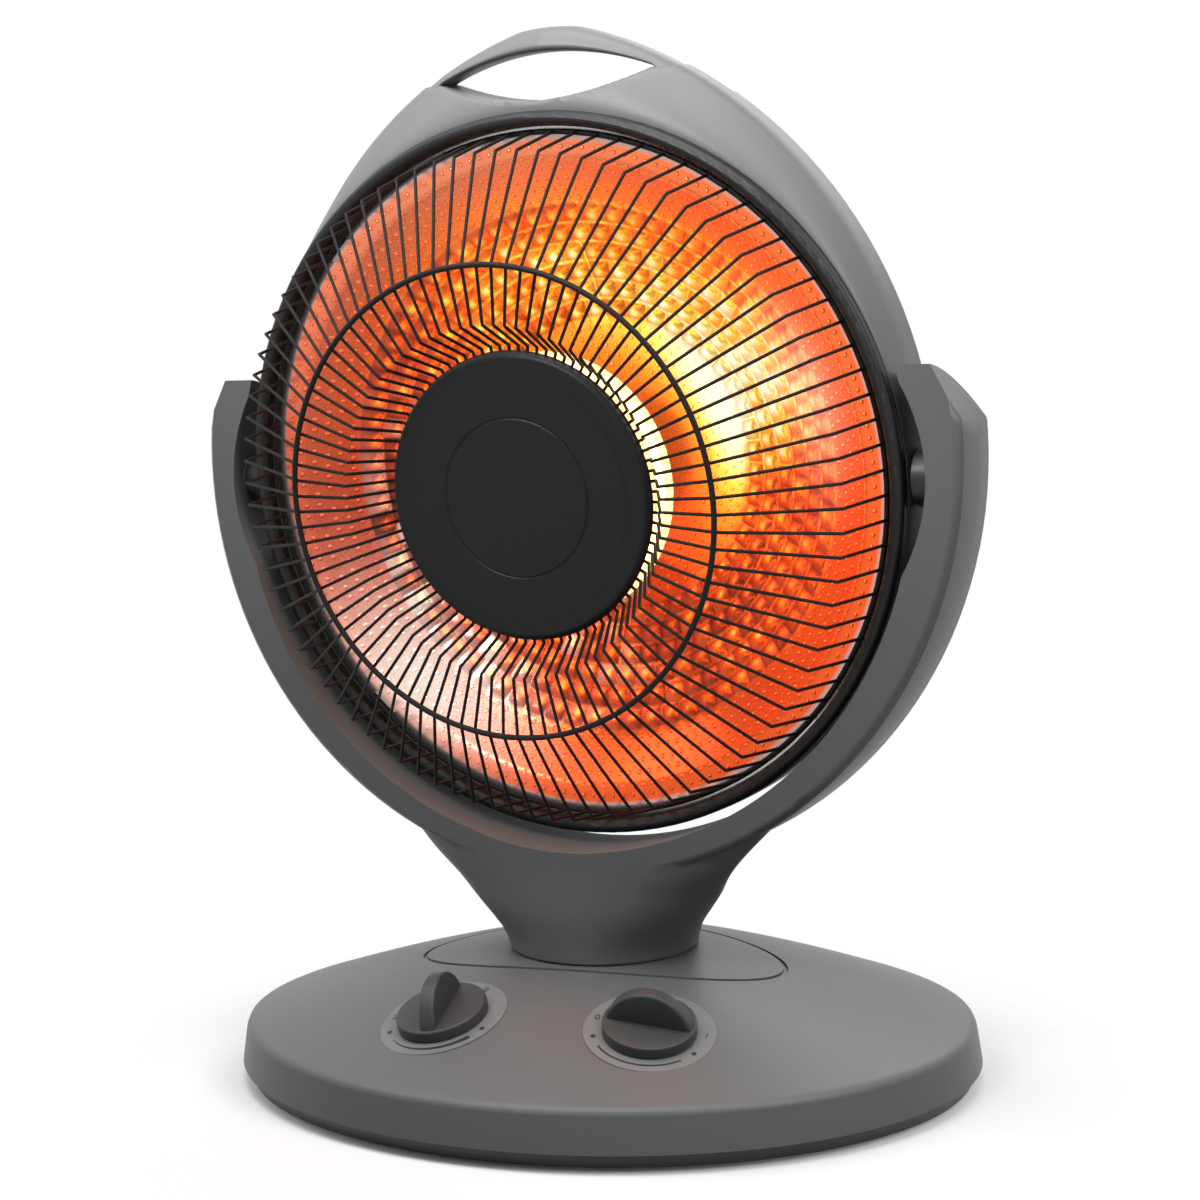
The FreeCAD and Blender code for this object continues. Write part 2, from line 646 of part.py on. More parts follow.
def dome_solid(name, inset):
    """Solid of the base cover, drawn in by the inset all round."""
    lean = S.wall_lean
    wall = [(as_size(0), PLATE_TOP), (lean, RIM_TOP - S.rim_round),
            (lean + S.rim_round * ROUND_FACET, RIM_TOP - S.rim_round * ROUND_FACET), (lean + S.rim_round, RIM_TOP)]
    rim = []
    for index, (shrink, level) in enumerate(wall):
        wide = S.base_half_width - shrink - inset
        deep = S.base_half_depth - shrink - inset
        lowered = level - inset if index else level
        rim.append(ellipse(f"{name}_rim_{index}", wide, deep, z=lowered))
    dome = [rim[-1]]
    for index, step in enumerate(DOME_STEPS[1:]):
        swell = 1 - (1 - step) ** float(S.dome_power)
        wide = S.base_half_width - lean - S.rim_round
        deep = S.base_half_depth - lean - S.rim_round
        half_x = wide + (S.neck_radius - wide) * step - inset
        half_y = deep + (S.neck_radius - deep) * step - inset
        level = RIM_TOP + (S.dome_top - RIM_TOP) * swell - inset
        dome.append(ellipse(f"{name}_dome_{index}", half_x, half_y, z=level))
    return fuse(name, loft(name + "_wall", rim, ruled=True), loft(name + "_crown", dome, ruled=False))


def on_dome(obj, frame, height=0):
    """Place a piece on a knob's axis, at a height above the dial seat."""
    return placed(obj, frame.multiply(Placement(Vector(0, 0, float(height)), Rotation())))


def cover_groove():
    """Shallow oval groove round the neck: an upright oval ring that stops at a lowered copy of the dome."""
    rings = []
    for name, grow in (("outside", S.groove_width), ("inside", as_size(0))):
        outline = ellipse(f"groove_{name}", S.groove_half_width + grow, S.groove_half_depth + grow, y=-S.groove_ahead)
        rings.append(extruded(f"groove_{name}_prism", outline, Z_AXIS))
    neck = cylinder("groove_neck", S.neck_radius + S.loose_gap, ROOMY)
    return cut("groove", rings[0], rings[1], neck, dome_solid("groove_floor", S.groove_depth))


def base_cover():
    outer = dome_solid("cover_outer", as_size(0))
    inner = dome_solid("cover_inner", S.cover_wall)
    bosses = [cylinder(f"cover_boss_{index}", S.boss_radius, S.dome_top, x, y, PLATE_TOP)
              for index, (x, y) in enumerate(BASE_SCREW_PLACES)]
    boss = common("cover_bosses", fuse("cover_boss_posts", *bosses), outer)
    parts = [cut("cover_shell", outer, inner), boss]
    tools = [cover_groove()]
    for name, frame in KNOBS.items():
        pad = cylinder(f"{name}_pad", S.dial_radius + S.cover_wall, S.dial_pad)
        parts.append(common(f"{name}_pad_trimmed", on_dome(pad, frame, -S.dial_pad), outer))
        recess = cylinder(f"{name}_recess", S.dial_radius + S.fit_gap, S.rim_height)
        tools.append(on_dome(recess, frame))
        hole = cylinder(f"{name}_hole", S.shaft_radius + S.loose_gap, S.dial_pad * 3)
        tools.append(on_dome(hole, frame, -S.dial_pad * 2))
    tools.append(cylinder("bush_hole", S.spigot_radius + S.fit_gap + S.bush_wall, S.dome_top, z=PLATE_TOP))
    for index, (x, y) in enumerate(BASE_SCREW_PLACES):
        tools.append(cylinder(f"boss_hole_{index}", S.screw_radius, S.screw_length, x, y, PLATE_TOP))
    tools.append(cylinder("gland_hole", S.gland_radius, S.gland_length * 2, y=S.base_half_depth - S.gland_length,
                          z=S.gland_height, along="Y"))
    node("base_cover", cut("base_cover", fuse("cover_body", *parts), *tools))


def base_fittings():
    ballast = box("ballast", S.ballast_width, S.ballast_depth, S.ballast_thickness, -S.ballast_width / 2,
                  -S.ballast_front, PLATE_TOP)
    node("ballast_plate", ballast)
    start = S.base_half_depth - S.gland_length - S.loose_gap
    sleeve = cylinder("gland_body", S.gland_radius, S.gland_length, y=start, z=S.gland_height, along="Y")
    bore = cylinder("gland_bore", S.gland_bore, S.gland_length, y=start, z=S.gland_height, along="Y")
    node("cord_gland", cut("gland", sleeve, bore))
    parts = [box("terminal_body", S.terminal_width, S.terminal_depth, S.terminal_height, -S.terminal_left,
                 S.terminal_front, PLATE_TOP)]
    tower_front = S.terminal_front + (S.terminal_depth - S.tower_depth) / 2
    for index in range(TERMINAL_TOWERS):
        left = S.tower_margin + S.tower_pitch * index - S.terminal_left
        parts.append(box(f"terminal_tower_{index}", S.tower_width, S.tower_depth, S.tower_height, left, tower_front,
                         PLATE_TOP + S.terminal_height))
    node("terminal_block", fuse("terminal_parts", *parts))
    body = box("tilt_body", S.tilt_width, S.tilt_depth, S.tilt_height, S.tilt_left, S.tilt_front, PLATE_TOP)
    foot = box("tilt_plate", S.tilt_width + S.tilt_flange * 2, S.tilt_depth, S.tilt_foot, S.tilt_left - S.tilt_flange,
               S.tilt_front, PLATE_TOP)
    node("tilt_switch", fuse("tilt_parts", body, foot))


def knob_and_switch(name, frame, grip_turn):
    """Dial plate, rotary switch, its shaft and its knob on one axis normal to the dome."""
    plate = cut(f"{name}_plate", cylinder(f"{name}_plate_disc", S.dial_radius, S.dial_thickness),
                cylinder(f"{name}_plate_hole", S.shaft_radius + S.loose_gap, S.dial_thickness))
    frame = BASE.multiply(frame)
    node(f"{name}_dial", plate, frame)
    under = -S.dial_pad - S.switch_length
    floor = under + S.switch_floor
    can = cylinder(f"{name}_switch_can", S.switch_radius, S.switch_length, z=under)
    bore = cylinder(f"{name}_switch_bore", S.shaft_radius + S.fit_gap, S.switch_length, z=floor)
    node(f"{name}_switch", cut(f"{name}_switch_cut", can, bore), frame)
    lift = S.dial_thickness + S.knob_gap
    top = lift + S.knob_bore_depth
    foot = floor + S.shaft_end_gap
    shaft = cylinder(f"{name}_rod", S.shaft_radius, top - foot, z=foot)
    node(f"{name}_shaft", shaft, frame)
    disc = cylinder(f"{name}_disc", S.knob_radius, S.knob_disc, z=lift)
    arch = cylinder(f"{name}_arch", S.knob_radius - S.grip_inset, S.grip_thickness, 0, -S.grip_thickness / 2, lift, "Y")
    headroom = box(f"{name}_headroom", S.knob_radius * 2, S.knob_radius * 2, S.grip_height, -S.knob_radius,
                   -S.knob_radius, lift)
    fin = common(f"{name}_fin", arch, headroom)
    socket = cylinder(f"{name}_socket", S.shaft_radius, S.knob_bore_depth, z=lift)
    knob = cut(f"{name}_knob_cut", fuse(f"{name}_knob_body", disc, fin), socket)
    node(f"{name}_knob", knob, frame.multiply(Placement(Vector(), Rotation(Z_AXIS, grip_turn))))


def involute(angle):
    return math.tan(angle) - angle


def tooth_flank(teeth):
    """Radius and half-angle of a tooth from its root to its tip."""
    module = float(S.gear_module)
    pitch = module * teeth / 2
    base = pitch * math.cos(PRESSURE_ANGLE)
    root = pitch - TOOTH_DEDENDUM * module
    tip = pitch + TOOTH_ADDENDUM * module
    half = math.pi / (2 * teeth) - float(S.gear_backlash) / (2 * pitch) + involute(PRESSURE_ANGLE)
    lowest = max(base, root)
    flank = [] if root >= base else [(root, half)]
    for index in range(FLANK_POINTS):
        radius = lowest + (tip - lowest) * index / (FLANK_POINTS - 1)
        flank.append((radius, half - involute(math.acos(min(1.0, base / radius)))))
    return flank


def toothed_outline(teeth, angles):
    """Points of a row of teeth, centred on the given angles in rising order."""
    flank = tooth_flank(teeth)
    points = []
    for angle in angles:
        points += [(radius, angle - half) for radius, half in flank]
        points += [(radius, angle + half) for radius, half in reversed(flank)]
    return [Vector(radius * math.cos(a), radius * math.sin(a), 0) for radius, a in points]


def gears():
    teeth = int(S.gear_teeth.number)
    pitch = 2 * math.pi / teeth
    half = math.radians(float(S.gear_half_sector))
    swing = math.radians(float(S.rest_swing))
    reach = int(half / pitch)
    shift = round(swing / pitch)
    angles = [math.pi / 2 + (index + 0.5) * pitch for index in range(shift - reach, shift + reach)]
    outline = toothed_outline(teeth, angles)
    edge = Part.makePolygon([Vector()] + outline + [Vector()])
    sector = feature("gear_sector", Part.Face(edge).extrude(Vector(0, 0, float(S.gear_thickness))))
    at(sector, z=GEAR_BOTTOM)
    hub = cylinder("gear_hub", S.gear_hub_radius, S.gear_thickness, z=GEAR_BOTTOM)
    bores = [cylinder("gear_bore", S.spigot_bore, S.gear_thickness, z=GEAR_BOTTOM)]
    screws = []
    for index, turn in enumerate(spread(GEAR_SCREWS, -90)):
        x = S.gear_screw_circle * math.cos(turn)
        y = S.gear_screw_circle * math.sin(turn)
        bores.append(cylinder(f"gear_hole_{index}", S.screw_radius, S.gear_thickness, x, y, GEAR_BOTTOM))
        screws.append(rising_screw(f"gear_screw_{index}", x, y, GEAR_BOTTOM))
    node("swivel_gear", cut("gear", fuse("gear_body", hub, sector), *bores))
    set_node("gear_screws", screws)

    pinion_teeth = int(S.pinion_teeth.number)
    step = 2 * math.pi / pinion_teeth
    outline = toothed_outline(pinion_teeth, [-math.pi / 2 + index * step for index in range(pinion_teeth)])
    edge = Part.makePolygon(outline + [outline[0]])
    blank = feature("pinion_blank", Part.Face(edge).extrude(Vector(0, 0, float(S.gear_thickness))))
    at(blank, y=GEAR_CENTRES, z=GEAR_BOTTOM)
    bore = cylinder("pinion_bore", S.shaft_radius, S.gear_thickness, y=GEAR_CENTRES, z=GEAR_BOTTOM)
    node("motor_pinion", cut("pinion", blank, bore))
    foot = PLATE_TOP + S.motor_ear * 2
    node("pinion_shaft", cylinder("pinion_rod", S.shaft_radius, GEAR_TOP - foot, y=GEAR_CENTRES, z=foot))


def motor():
    can = cylinder("motor_can", S.motor_radius, S.motor_height, y=GEAR_CENTRES, z=PLATE_TOP)
    boss = cylinder("motor_bearing", S.motor_boss_radius, S.motor_boss, y=GEAR_CENTRES,
                    z=PLATE_TOP + S.motor_height)
    ears = box("motor_ears", S.motor_ear_span, S.motor_ear_width, S.motor_ear, -S.motor_ear_span / 2,
               GEAR_CENTRES - S.motor_ear_width / 2, PLATE_TOP)
    bore = cylinder("motor_bore", S.shaft_radius + S.fit_gap, S.motor_height * 2, y=GEAR_CENTRES,
                    z=PLATE_TOP + S.motor_ear * 2 - S.fit_gap)
    holes = []
    for side in (-1, 1):
        holes.append(cylinder(f"ear_hole_{side}", S.screw_radius, S.motor_ear, side * S.motor_screw_x, GEAR_CENTRES,
                              PLATE_TOP))
    node("oscillation_motor", cut("motor", fuse("motor_body", can, boss, ears), bore, *holes))
    top = PLATE_TOP + S.motor_ear
    screws = []
    for side in (-1, 1):
        x = side * S.motor_screw_x
        shank = cylinder(f"motor_screw_shank_{side}", S.screw_radius, S.motor_screw_length, x, GEAR_CENTRES,
                         top - S.motor_screw_length)
        cap = cylinder(f"motor_screw_head_{side}", S.screw_head_radius, S.screw_head_height, x, GEAR_CENTRES, top)
        screws.append(fuse(f"motor_screw_{side}", shank, cap))
    set_node("motor_screws", screws)


def swivel():
    inner = S.spigot_radius + S.fit_gap
    outer = inner + S.bush_wall
    rim = S.neck_radius - S.bush_inset
    bush = turned("bush", [(inner, BUSH_END), (outer, BUSH_END), (outer, S.dome_top), (rim, S.dome_top),
                           (rim, NECK_SEAT), (inner, NECK_SEAT)])
    node("swivel_bush", bush)
    floor = NECK_SEAT + S.yoke_wall
    top = floor + S.spigot_flange
    spigot = turned("spigot", [(S.spigot_bore, GEAR_TOP), (S.spigot_radius, GEAR_TOP), (S.spigot_radius, floor),
                               (S.spigot_flange_radius, floor), (S.spigot_flange_radius, top), (S.spigot_bore, top)])
    holes = []
    for index, turn in enumerate(spread(GEAR_SCREWS, -90)):
        holes.append(cylinder(f"spigot_hole_{index}", S.screw_radius, S.screw_length - S.gear_thickness,
                              S.gear_screw_circle * math.cos(turn), S.gear_screw_circle * math.sin(turn), GEAR_TOP))
    node("swivel_spigot", cut("spigot_drilled", spigot, *holes))
    washer = turned("washer", [(inner, GEAR_TOP), (S.washer_radius, GEAR_TOP), (S.washer_radius, BUSH_END),
                               (inner, BUSH_END)])
    node("thrust_washer", washer)


NECK_SECTIONS = [
    (S.neck_level_1, S.neck_half_width_1, S.neck_half_depth_1, S.neck_ahead_1),
    (S.neck_level_2, S.neck_half_width_2, S.neck_half_depth_2, S.neck_ahead_2),
    (S.neck_level_3, S.neck_half_width_3, S.neck_half_depth_3, S.neck_ahead_3),
    (S.neck_level_4, S.neck_half_width_4, S.neck_half_depth_4, S.neck_ahead_4),
    (S.neck_level_5, S.neck_half_width_5, S.neck_half_depth_5, S.neck_ahead_5),
    (S.neck_level_6, S.neck_half_width_6, S.neck_half_depth_6, S.neck_ahead_6),
]


def side_view_keep(name, front, back, inset):
    """What is left of the arms in side view: their tips fall away in a curve towards the back."""
    bend = S.pivot_height + S.arm_rise - S.arm_curve
    half = ROOMY / 2
    reach = back - front + S.arm_lead + PAST
    curve = ellipse(name + "_tip_curve", S.arm_curve - inset, reach, x=-half, y=front - S.arm_lead, z=bend,
                    along="X")
    return fuse(name + "_side", box(name + "_below", ROOMY, ROOMY, bend, -half, -half, 0),
                extruded(name + "_tip_round", curve, X_AXIS))


def shoulder_cuts(name, inset):
    """Slanting blocks that take the outer corner off each arm's tip."""
    blocks = []
    half = ROOMY / 2
    for side in (-1, 1):
        start = -inset if side > 0 else inset - half
        block = box(f"{name}_shoulder_{side}", half, ROOMY, ROOMY, start, -half, -half)
        corner = Vector(side * float(S.arm_shoulder_x), 0, float(S.pivot_height + S.arm_shoulder_rise))
        blocks.append(placed(block, Placement(corner, Rotation(Y_AXIS, -side * float(S.arm_shoulder_slant)))))
    return blocks


def hoop_disc(name, inset):
    """Disc with bevelled edges that the arms are cut from, drawn in by the inset all round."""
    front = S.yoke_front - S.pivot_y - inset
    back = inset - S.yoke_back - S.pivot_y
    rim = S.yoke_radius - inset
    edge = rim - S.yoke_bevel
    disc = turned(name, [
        (as_size(0), back), (edge, back), (rim, back + S.yoke_bevel), (rim, front - S.yoke_bevel), (edge, front),
        (as_size(0), front),
    ])
    disc.Placement = Placement(Vector(0, 0, float(HOOP_HEIGHT)), FORWARD.Rotation)
    return disc


def yoke_neck():
    """Neck from its round seat up into the hoop."""
    rings = [ellipse("neck_foot", S.neck_radius, S.neck_radius, z=NECK_SEAT)]
    for index, (step, wide, deep, ahead) in enumerate(NECK_SECTIONS):
        level = NECK_SEAT + step * NECK_STRETCH
        rings.append(ellipse(f"neck_section_{index}", wide, deep, y=-ahead, z=level))
    return loft("neck", rings, ruled=False)


def yoke_block(name, inset, *parts):
    """Given solids, cut along the yoke's inner side: round below, with an oval room between the arms."""
    oval = ellipse(name + "_oval", S.yoke_inner_radius + inset, S.arm_room_depth + inset, y=-ROOMY / 2,
                   z=S.pivot_height, along="Y")
    arm_room = extruded(name + "_arm_room", oval, Y_AXIS)
    room = cylinder(name + "_room", S.yoke_inner_depth + inset, ROOMY, 0, -ROOMY / 2, S.pivot_height, "Y")
    body = fuse(name + "_body", *parts) if len(parts) > 1 else parts[0]
    return cut(name, body, room, arm_room)


def yoke_half(name, inset, block, half):
    """One half of a yoke solid, with its arm tips trimmed."""
    front = S.pivot_y - S.yoke_front + inset
    back = S.pivot_y + S.yoke_back - inset
    part = common(name + "_half", block, half)
    sided = common(name + "_sided", part, side_view_keep(name, front, back, inset))
    return cut(name + "_arms", sided, *shoulder_cuts(name, inset))


def neck_cavity():
    """Hollow of the neck over the spigot's flange, closing in upwards."""
    floor = NECK_SEAT + S.yoke_wall
    roof = floor + S.spigot_flange + PAST
    cone = doc.addObject("Part::Cone", "neck_hollow")
    bind(cone, Radius1=S.spigot_flange_radius - PAST, Radius2=S.spigot_bore, Height=S.neck_level_2 * NECK_STRETCH)
    at(cone, y=-S.neck_ahead_1, z=roof)
    return [cylinder("flange_room", S.spigot_flange_radius + PAST, S.spigot_flange + PAST, z=floor), cone]


def yoke_screw_places():
    """Screw axes in the middle of the hoop's thickness."""
    places = []
    for angle in (S.yoke_screw_low, S.yoke_screw_high):
        turn = math.radians(float(angle))
        middle = float(S.yoke_radius - S.yoke_rise * math.cos(turn) + S.yoke_inner_depth) / 2
        for side in (-1, 1):
            places.append((side * middle * math.sin(turn), float(S.pivot_height) - middle * math.cos(turn)))
    return places


def yoke():
    front = S.pivot_y - S.yoke_front
    back = S.pivot_y + S.yoke_back
    posts = []
    holes = []
    screws = []
    seat = back - S.yoke_wall
    for index, (x, z) in enumerate(yoke_screw_places()):
        tip = seat - S.screw_length
        posts.append(cylinder(f"yoke_post_{index}", S.boss_radius, back - front - PAST * 2, x, front + PAST, z, "Y"))
        holes.append(cylinder(f"yoke_hole_{index}", S.screw_radius, S.screw_length, x, tip, z, "Y"))
        holes.append(cylinder(f"yoke_sink_{index}", S.screw_head_radius, S.yoke_wall * 2, x, seat, z, "Y"))
        shank = cylinder(f"yoke_screw_shank_{index}", S.screw_radius, S.screw_length, x, tip, z, "Y")
        cap = cylinder(f"yoke_screw_head_{index}", S.screw_head_radius, S.screw_head_height, x, seat, z, "Y")
        screws.append(fuse(f"yoke_screw_{index}", shank, cap))
    pads = []
    bolts = []
    washers = []
    for side in (-1, 1):
        pad_start = PIVOT_FACE if side > 0 else -PIVOT_FACE - S.pivot_pad
        pads.append(cylinder(f"pivot_pad_{side}", S.pivot_pad_radius, S.pivot_pad, pad_start, S.pivot_y,
                             S.pivot_height, "X"))
        head = PIVOT_FACE + S.pivot_pad
        tip = TRUNNION_FACE - S.trunnion_flange - S.trunnion_length
        shank_start = tip if side > 0 else -head
        head_start = head if side > 0 else -head - S.pivot_head
        shank = cylinder(f"bolt_shank_{side}", S.pivot_radius, head - tip, shank_start, S.pivot_y,
                         S.pivot_height, "X")
        cap = cylinder(f"bolt_head_{side}", S.pivot_head_radius, S.pivot_head, head_start, S.pivot_y,
                       S.pivot_height, "X")
        bolts.append(fuse(f"bolt_{side}", shank, cap))
        holes.append(cylinder(f"bolt_hole_{side}", S.pivot_radius, S.pivot_pad, pad_start, S.pivot_y,
                              S.pivot_height, "X"))
        holes.append(cylinder(f"bolt_sink_{side}", S.pivot_head_radius, S.pivot_head, head_start, S.pivot_y,
                              S.pivot_height, "X"))
        washer_start = TRUNNION_FACE if side > 0 else -PIVOT_FACE
        disc = cylinder(f"washer_disc_{side}", S.pivot_pad_radius, S.friction_washer, washer_start, S.pivot_y,
                        S.pivot_height, "X")
        eye = cylinder(f"washer_eye_{side}", S.pivot_radius, S.friction_washer, washer_start, S.pivot_y,
                       S.pivot_height, "X")
        washers.append(cut(f"friction_washer_{side}", disc, eye))
    holes.append(cylinder("neck_hole", S.spigot_radius, S.yoke_wall * 2, z=NECK_SEAT - S.yoke_wall / 2))
    split = S.pivot_y + S.yoke_split
    hollow = neck_cavity()
    block = yoke_block("yoke_block", as_size(0), hoop_disc("hoop", as_size(0)), yoke_neck())
    saddle = box("saddle", S.neck_half_width_5 * 2, ROOMY, S.pivot_height, -S.neck_half_width_5, -ROOMY / 2)
    hollow_disc = cut("hoop_hollow", hoop_disc("hoop_inside", S.yoke_wall), saddle)
    hollow_block = yoke_block("hollow_block", S.yoke_wall, hollow_disc)
    for name, start in (("yoke_front_shell", split - ROOMY), ("yoke_rear_shell", split)):
        half = box(name + "_side", ROOMY, ROOMY, ROOMY, -ROOMY / 2, start, 0)
        outer = yoke_half(name + "_outer", as_size(0), block, half)
        inner = yoke_half(name + "_inner", S.yoke_wall, hollow_block, half)
        inside = common(name + "_posts", fuse(name + "_post_set", *posts), outer)
        lugs = common(name + "_lugs", fuse(name + "_pads", *pads), half)
        walls = fuse(name + "_walls", cut(name + "_skin", outer, inner, *hollow), inside, lugs)
        node(name, cut(name, walls, *holes), YOKE)
    set_node("yoke_screws", screws, YOKE)
    set_node("pivot_bolts", bolts, YOKE)
    set_node("friction_washers", washers, YOKE)


def arch_wire(radius, shift, y):
    """Round below, pointed arch above: two arcs whose centres lie past the middle by the shift."""
    reach = radius + shift
    apex = math.sqrt(reach * reach - shift * shift)
    half = math.atan2(apex, shift) / 2
    right = Vector(reach * math.cos(half) - shift, y, reach * math.sin(half))
    left = Vector(-right.x, y, right.z)
    lower = Part.Arc(Vector(-radius, y, 0), Vector(0, y, -radius), Vector(radius, y, 0))
    rising = Part.Arc(Vector(radius, y, 0), right, Vector(0, y, apex))
    falling = Part.Arc(Vector(0, y, apex), left, Vector(-radius, y, 0))
    return Part.Wire([arc.toShape() for arc in (lower, rising, falling)])


def arch_solid(name, inset, front, back):
    """Solid of the head housing, drawn in by the inset, from a front to a back depth."""
    wide = float(S.head_radius) - inset
    face = float(S.face_radius) - inset
    waist = front + float(S.face_bevel)
    wires = [arch_wire(face, float(S.face_shift), front), arch_wire(wide, float(S.arch_shift), waist),
             arch_wire(wide, float(S.arch_shift), back)]
    return feature(name, Part.makeLoft(wires, True, True))


def head_keep(name):
    """Everything below the curved top of the handle."""
    below = box(name + "_below", ROOMY, ROOMY, ROOMY, -ROOMY / 2, -ROOMY / 2, S.handle_foot - ROOMY)
    top = cylinder(name + "_top", S.handle_curve, ROOMY, 0, -ROOMY / 2, S.handle_top - S.handle_curve, "Y")
    return fuse(name, below, top)


def finger_opening(name):
    """Lens-shaped opening between two arcs, right through the housing."""
    curve = (float(S.grip_half_width) ** 2 / float(S.grip_half_height) + float(S.grip_half_height)) / 2
    offset = curve - S.grip_half_height
    discs = [cylinder(f"{name}_{side}", curve, ROOMY, 0, -ROOMY / 2, S.grip_centre + side * offset, "Y")
             for side in (-1, 1)]
    return common(name, *discs)


def head_screw_places():
    return [(S.bezel_screw_circle * math.cos(turn), S.bezel_screw_circle * math.sin(turn))
            for turn in map(math.radians, BEZEL_SCREW_ANGLES)]


def housing():
    """Front bezel, and the carrying handle that stands on its shoulders over the finger opening."""
    opening = finger_opening("finger_opening")
    form = arch_solid("bezel_form", 0.0, 0.0, float(BEZEL_BACK))
    block = common("bezel_block", form, head_keep("bezel_keep"))
    above = box("handle_side", ROOMY, ROOMY, ROOMY, -ROOMY / 2, -ROOMY / 2, S.grip_centre)
    hollow_wall = float(S.bezel_wall)
    hollow = arch_solid("bezel_hollow_form", hollow_wall, hollow_wall, float(BEZEL_BACK) + hollow_wall)
    hollow_keep = box("bezel_hollow_keep", ROOMY, ROOMY, ROOMY, -ROOMY / 2, -ROOMY / 2, S.grip_floor - ROOMY)
    mouth = cylinder("bezel_mouth", S.opening_radius, BEZEL_BACK, along="Y")
    posts = []
    holes = []
    tip = FLANGE_BACK - S.screw_length
    for index, (x, z) in enumerate(head_screw_places()):
        posts.append(cylinder(f"bezel_post_{index}", S.boss_radius, BEZEL_BACK - S.bezel_wall, x, S.bezel_wall, z, "Y"))
        holes.append(cylinder(f"bezel_hole_{index}", S.screw_radius, BEZEL_BACK - tip, x, tip, z, "Y"))
    for side in (-1, 1):
        start = S.opening_radius if side > 0 else -S.opening_radius - S.pivot_pad * 2
        holes.append(cylinder(f"bezel_trunnion_{side}", S.trunnion_radius, S.pivot_pad * 2, start, S.ring_forward,
                              0, "X"))
    walls = cut("bezel_walls", block, common("bezel_hollow", hollow, hollow_keep), mouth, opening, above)
    inside = common("bezel_posts", fuse("bezel_post_set", *posts), block)
    clear = cylinder("reflector_room", S.reflector_flange + S.loose_gap, S.reflector_sheet + S.loose_gap, 0,
                     S.bezel_wall, 0, "Y")
    body = fuse("bezel_body", walls, cut("bezel_posts_trimmed", inside, clear))
    node("front_bezel", cut("bezel", body, *holes), HEAD)
    node("carrying_handle", cut("handle", common("handle_block", block, above), opening), HEAD)


def rear_cover():
    """Vented bowl with a flange that closes the bezel's back up to the finger opening."""
    flange_form = arch_solid("flange_form", 0.0, float(BEZEL_BACK) - float(S.face_bevel), float(FLANGE_BACK))
    top = S.grip_floor + S.bezel_wall
    slab = box("flange_slab", ROOMY, S.flange_thickness, ROOMY, -ROOMY / 2, BEZEL_BACK, top - ROOMY)
    flange = common("flange_block", flange_form, slab)
    mouth = cylinder("flange_mouth", S.bowl_radius - S.bowl_wall, ROOMY, 0, 0, 0, "Y")
    bowl = turned("bowl", [
        (S.bowl_radius, -FLANGE_BACK, S.bowl_curve * -1),
        (S.bowl_back_radius, -BOWL_BACK),
        (as_size(0), -BOWL_BACK),
        (as_size(0), -BOWL_BACK + S.bowl_wall),
        (S.bowl_back_radius, -BOWL_BACK + S.bowl_wall, S.bowl_curve - S.bowl_wall),
        (S.bowl_radius - S.bowl_wall, -FLANGE_BACK),
    ])
    sketch = new_sketch(bowl, "vent_slot", "XY_Plane")
    half = S.vent_width / 2
    profile(sketch, [(S.vent_inner, -half), (S.vent_outer, -half), (S.vent_outer, half), (S.vent_inner, half)])
    doc.recompute()
    vent = bowl.newObject("PartDesign::Pocket", "vent_cut")
    vent.Profile = sketch
    vent.Type = "ThroughAll"
    doc.recompute()
    vents = bowl.newObject("PartDesign::PolarPattern", "vent_ring")
    vents.Originals = [vent]
    vents.Axis = (sketch, ["N_Axis"])
    vents.Angle = 360
    vents.setExpression("Occurrences", S.vent_count.formula)
    bowl.Tip = vents
    doc.recompute()
    bowl.Placement = FORWARD
    reach = BOWL_BACK - S.bowl_wall - BRACKET_FACE - S.bracket_sheet
    posts = []
    for index, turn in enumerate(spread(BRACKET_POSTS, 30)):
        posts.append(cylinder(f"bracket_post_{index}", S.post_radius, reach, S.post_circle * math.cos(turn),
                              BRACKET_FACE + S.bracket_sheet, S.post_circle * math.sin(turn), "Y"))
    holes = [cylinder(f"flange_hole_{index}", S.screw_radius, S.flange_thickness, x, BEZEL_BACK, z, "Y")
             for index, (x, z) in enumerate(head_screw_places())]
    ring = cut("flange_ring", flange, mouth, *holes)
    node("rear_cover", fuse("rear_cover", ring, bowl, *posts), HEAD)
    screws = []
    for index, (x, z) in enumerate(head_screw_places()):
        shank = cylinder(f"bezel_screw_shank_{index}", S.screw_radius, S.screw_length, x,
                         FLANGE_BACK - S.screw_length, z, "Y")
        cap = cylinder(f"bezel_screw_head_{index}", S.screw_head_radius, S.screw_head_height, x, FLANGE_BACK, z, "Y")
        screws.append(fuse(f"bezel_screw_{index}", shank, cap))
    set_node("bezel_screws", screws, HEAD)


def trunnions():
    bushes = []
    for side in (-1, 1):
        inner = TRUNNION_FACE - S.trunnion_flange - S.trunnion_length
        flange_start = TRUNNION_FACE - S.trunnion_flange if side > 0 else -TRUNNION_FACE
        sleeve_start = inner if side > 0 else -TRUNNION_FACE + S.trunnion_flange
        whole_start = inner if side > 0 else -TRUNNION_FACE
        flange = cylinder(f"trunnion_flange_{side}", S.pivot_pad_radius, S.trunnion_flange, flange_start,
                          S.ring_forward, 0, "X")
        sleeve = cylinder(f"trunnion_sleeve_{side}", S.trunnion_radius, S.trunnion_length, sleeve_start,
                          S.ring_forward, 0, "X")
        bore = cylinder(f"trunnion_bore_{side}", S.pivot_radius + S.fit_gap, S.trunnion_flange + S.trunnion_length,
                        whole_start, S.ring_forward, 0, "X")
        bushes.append(cut(f"trunnion_{side}", fuse(f"trunnion_body_{side}", flange, sleeve), bore))
    set_node("trunnion_bushes", bushes, HEAD)


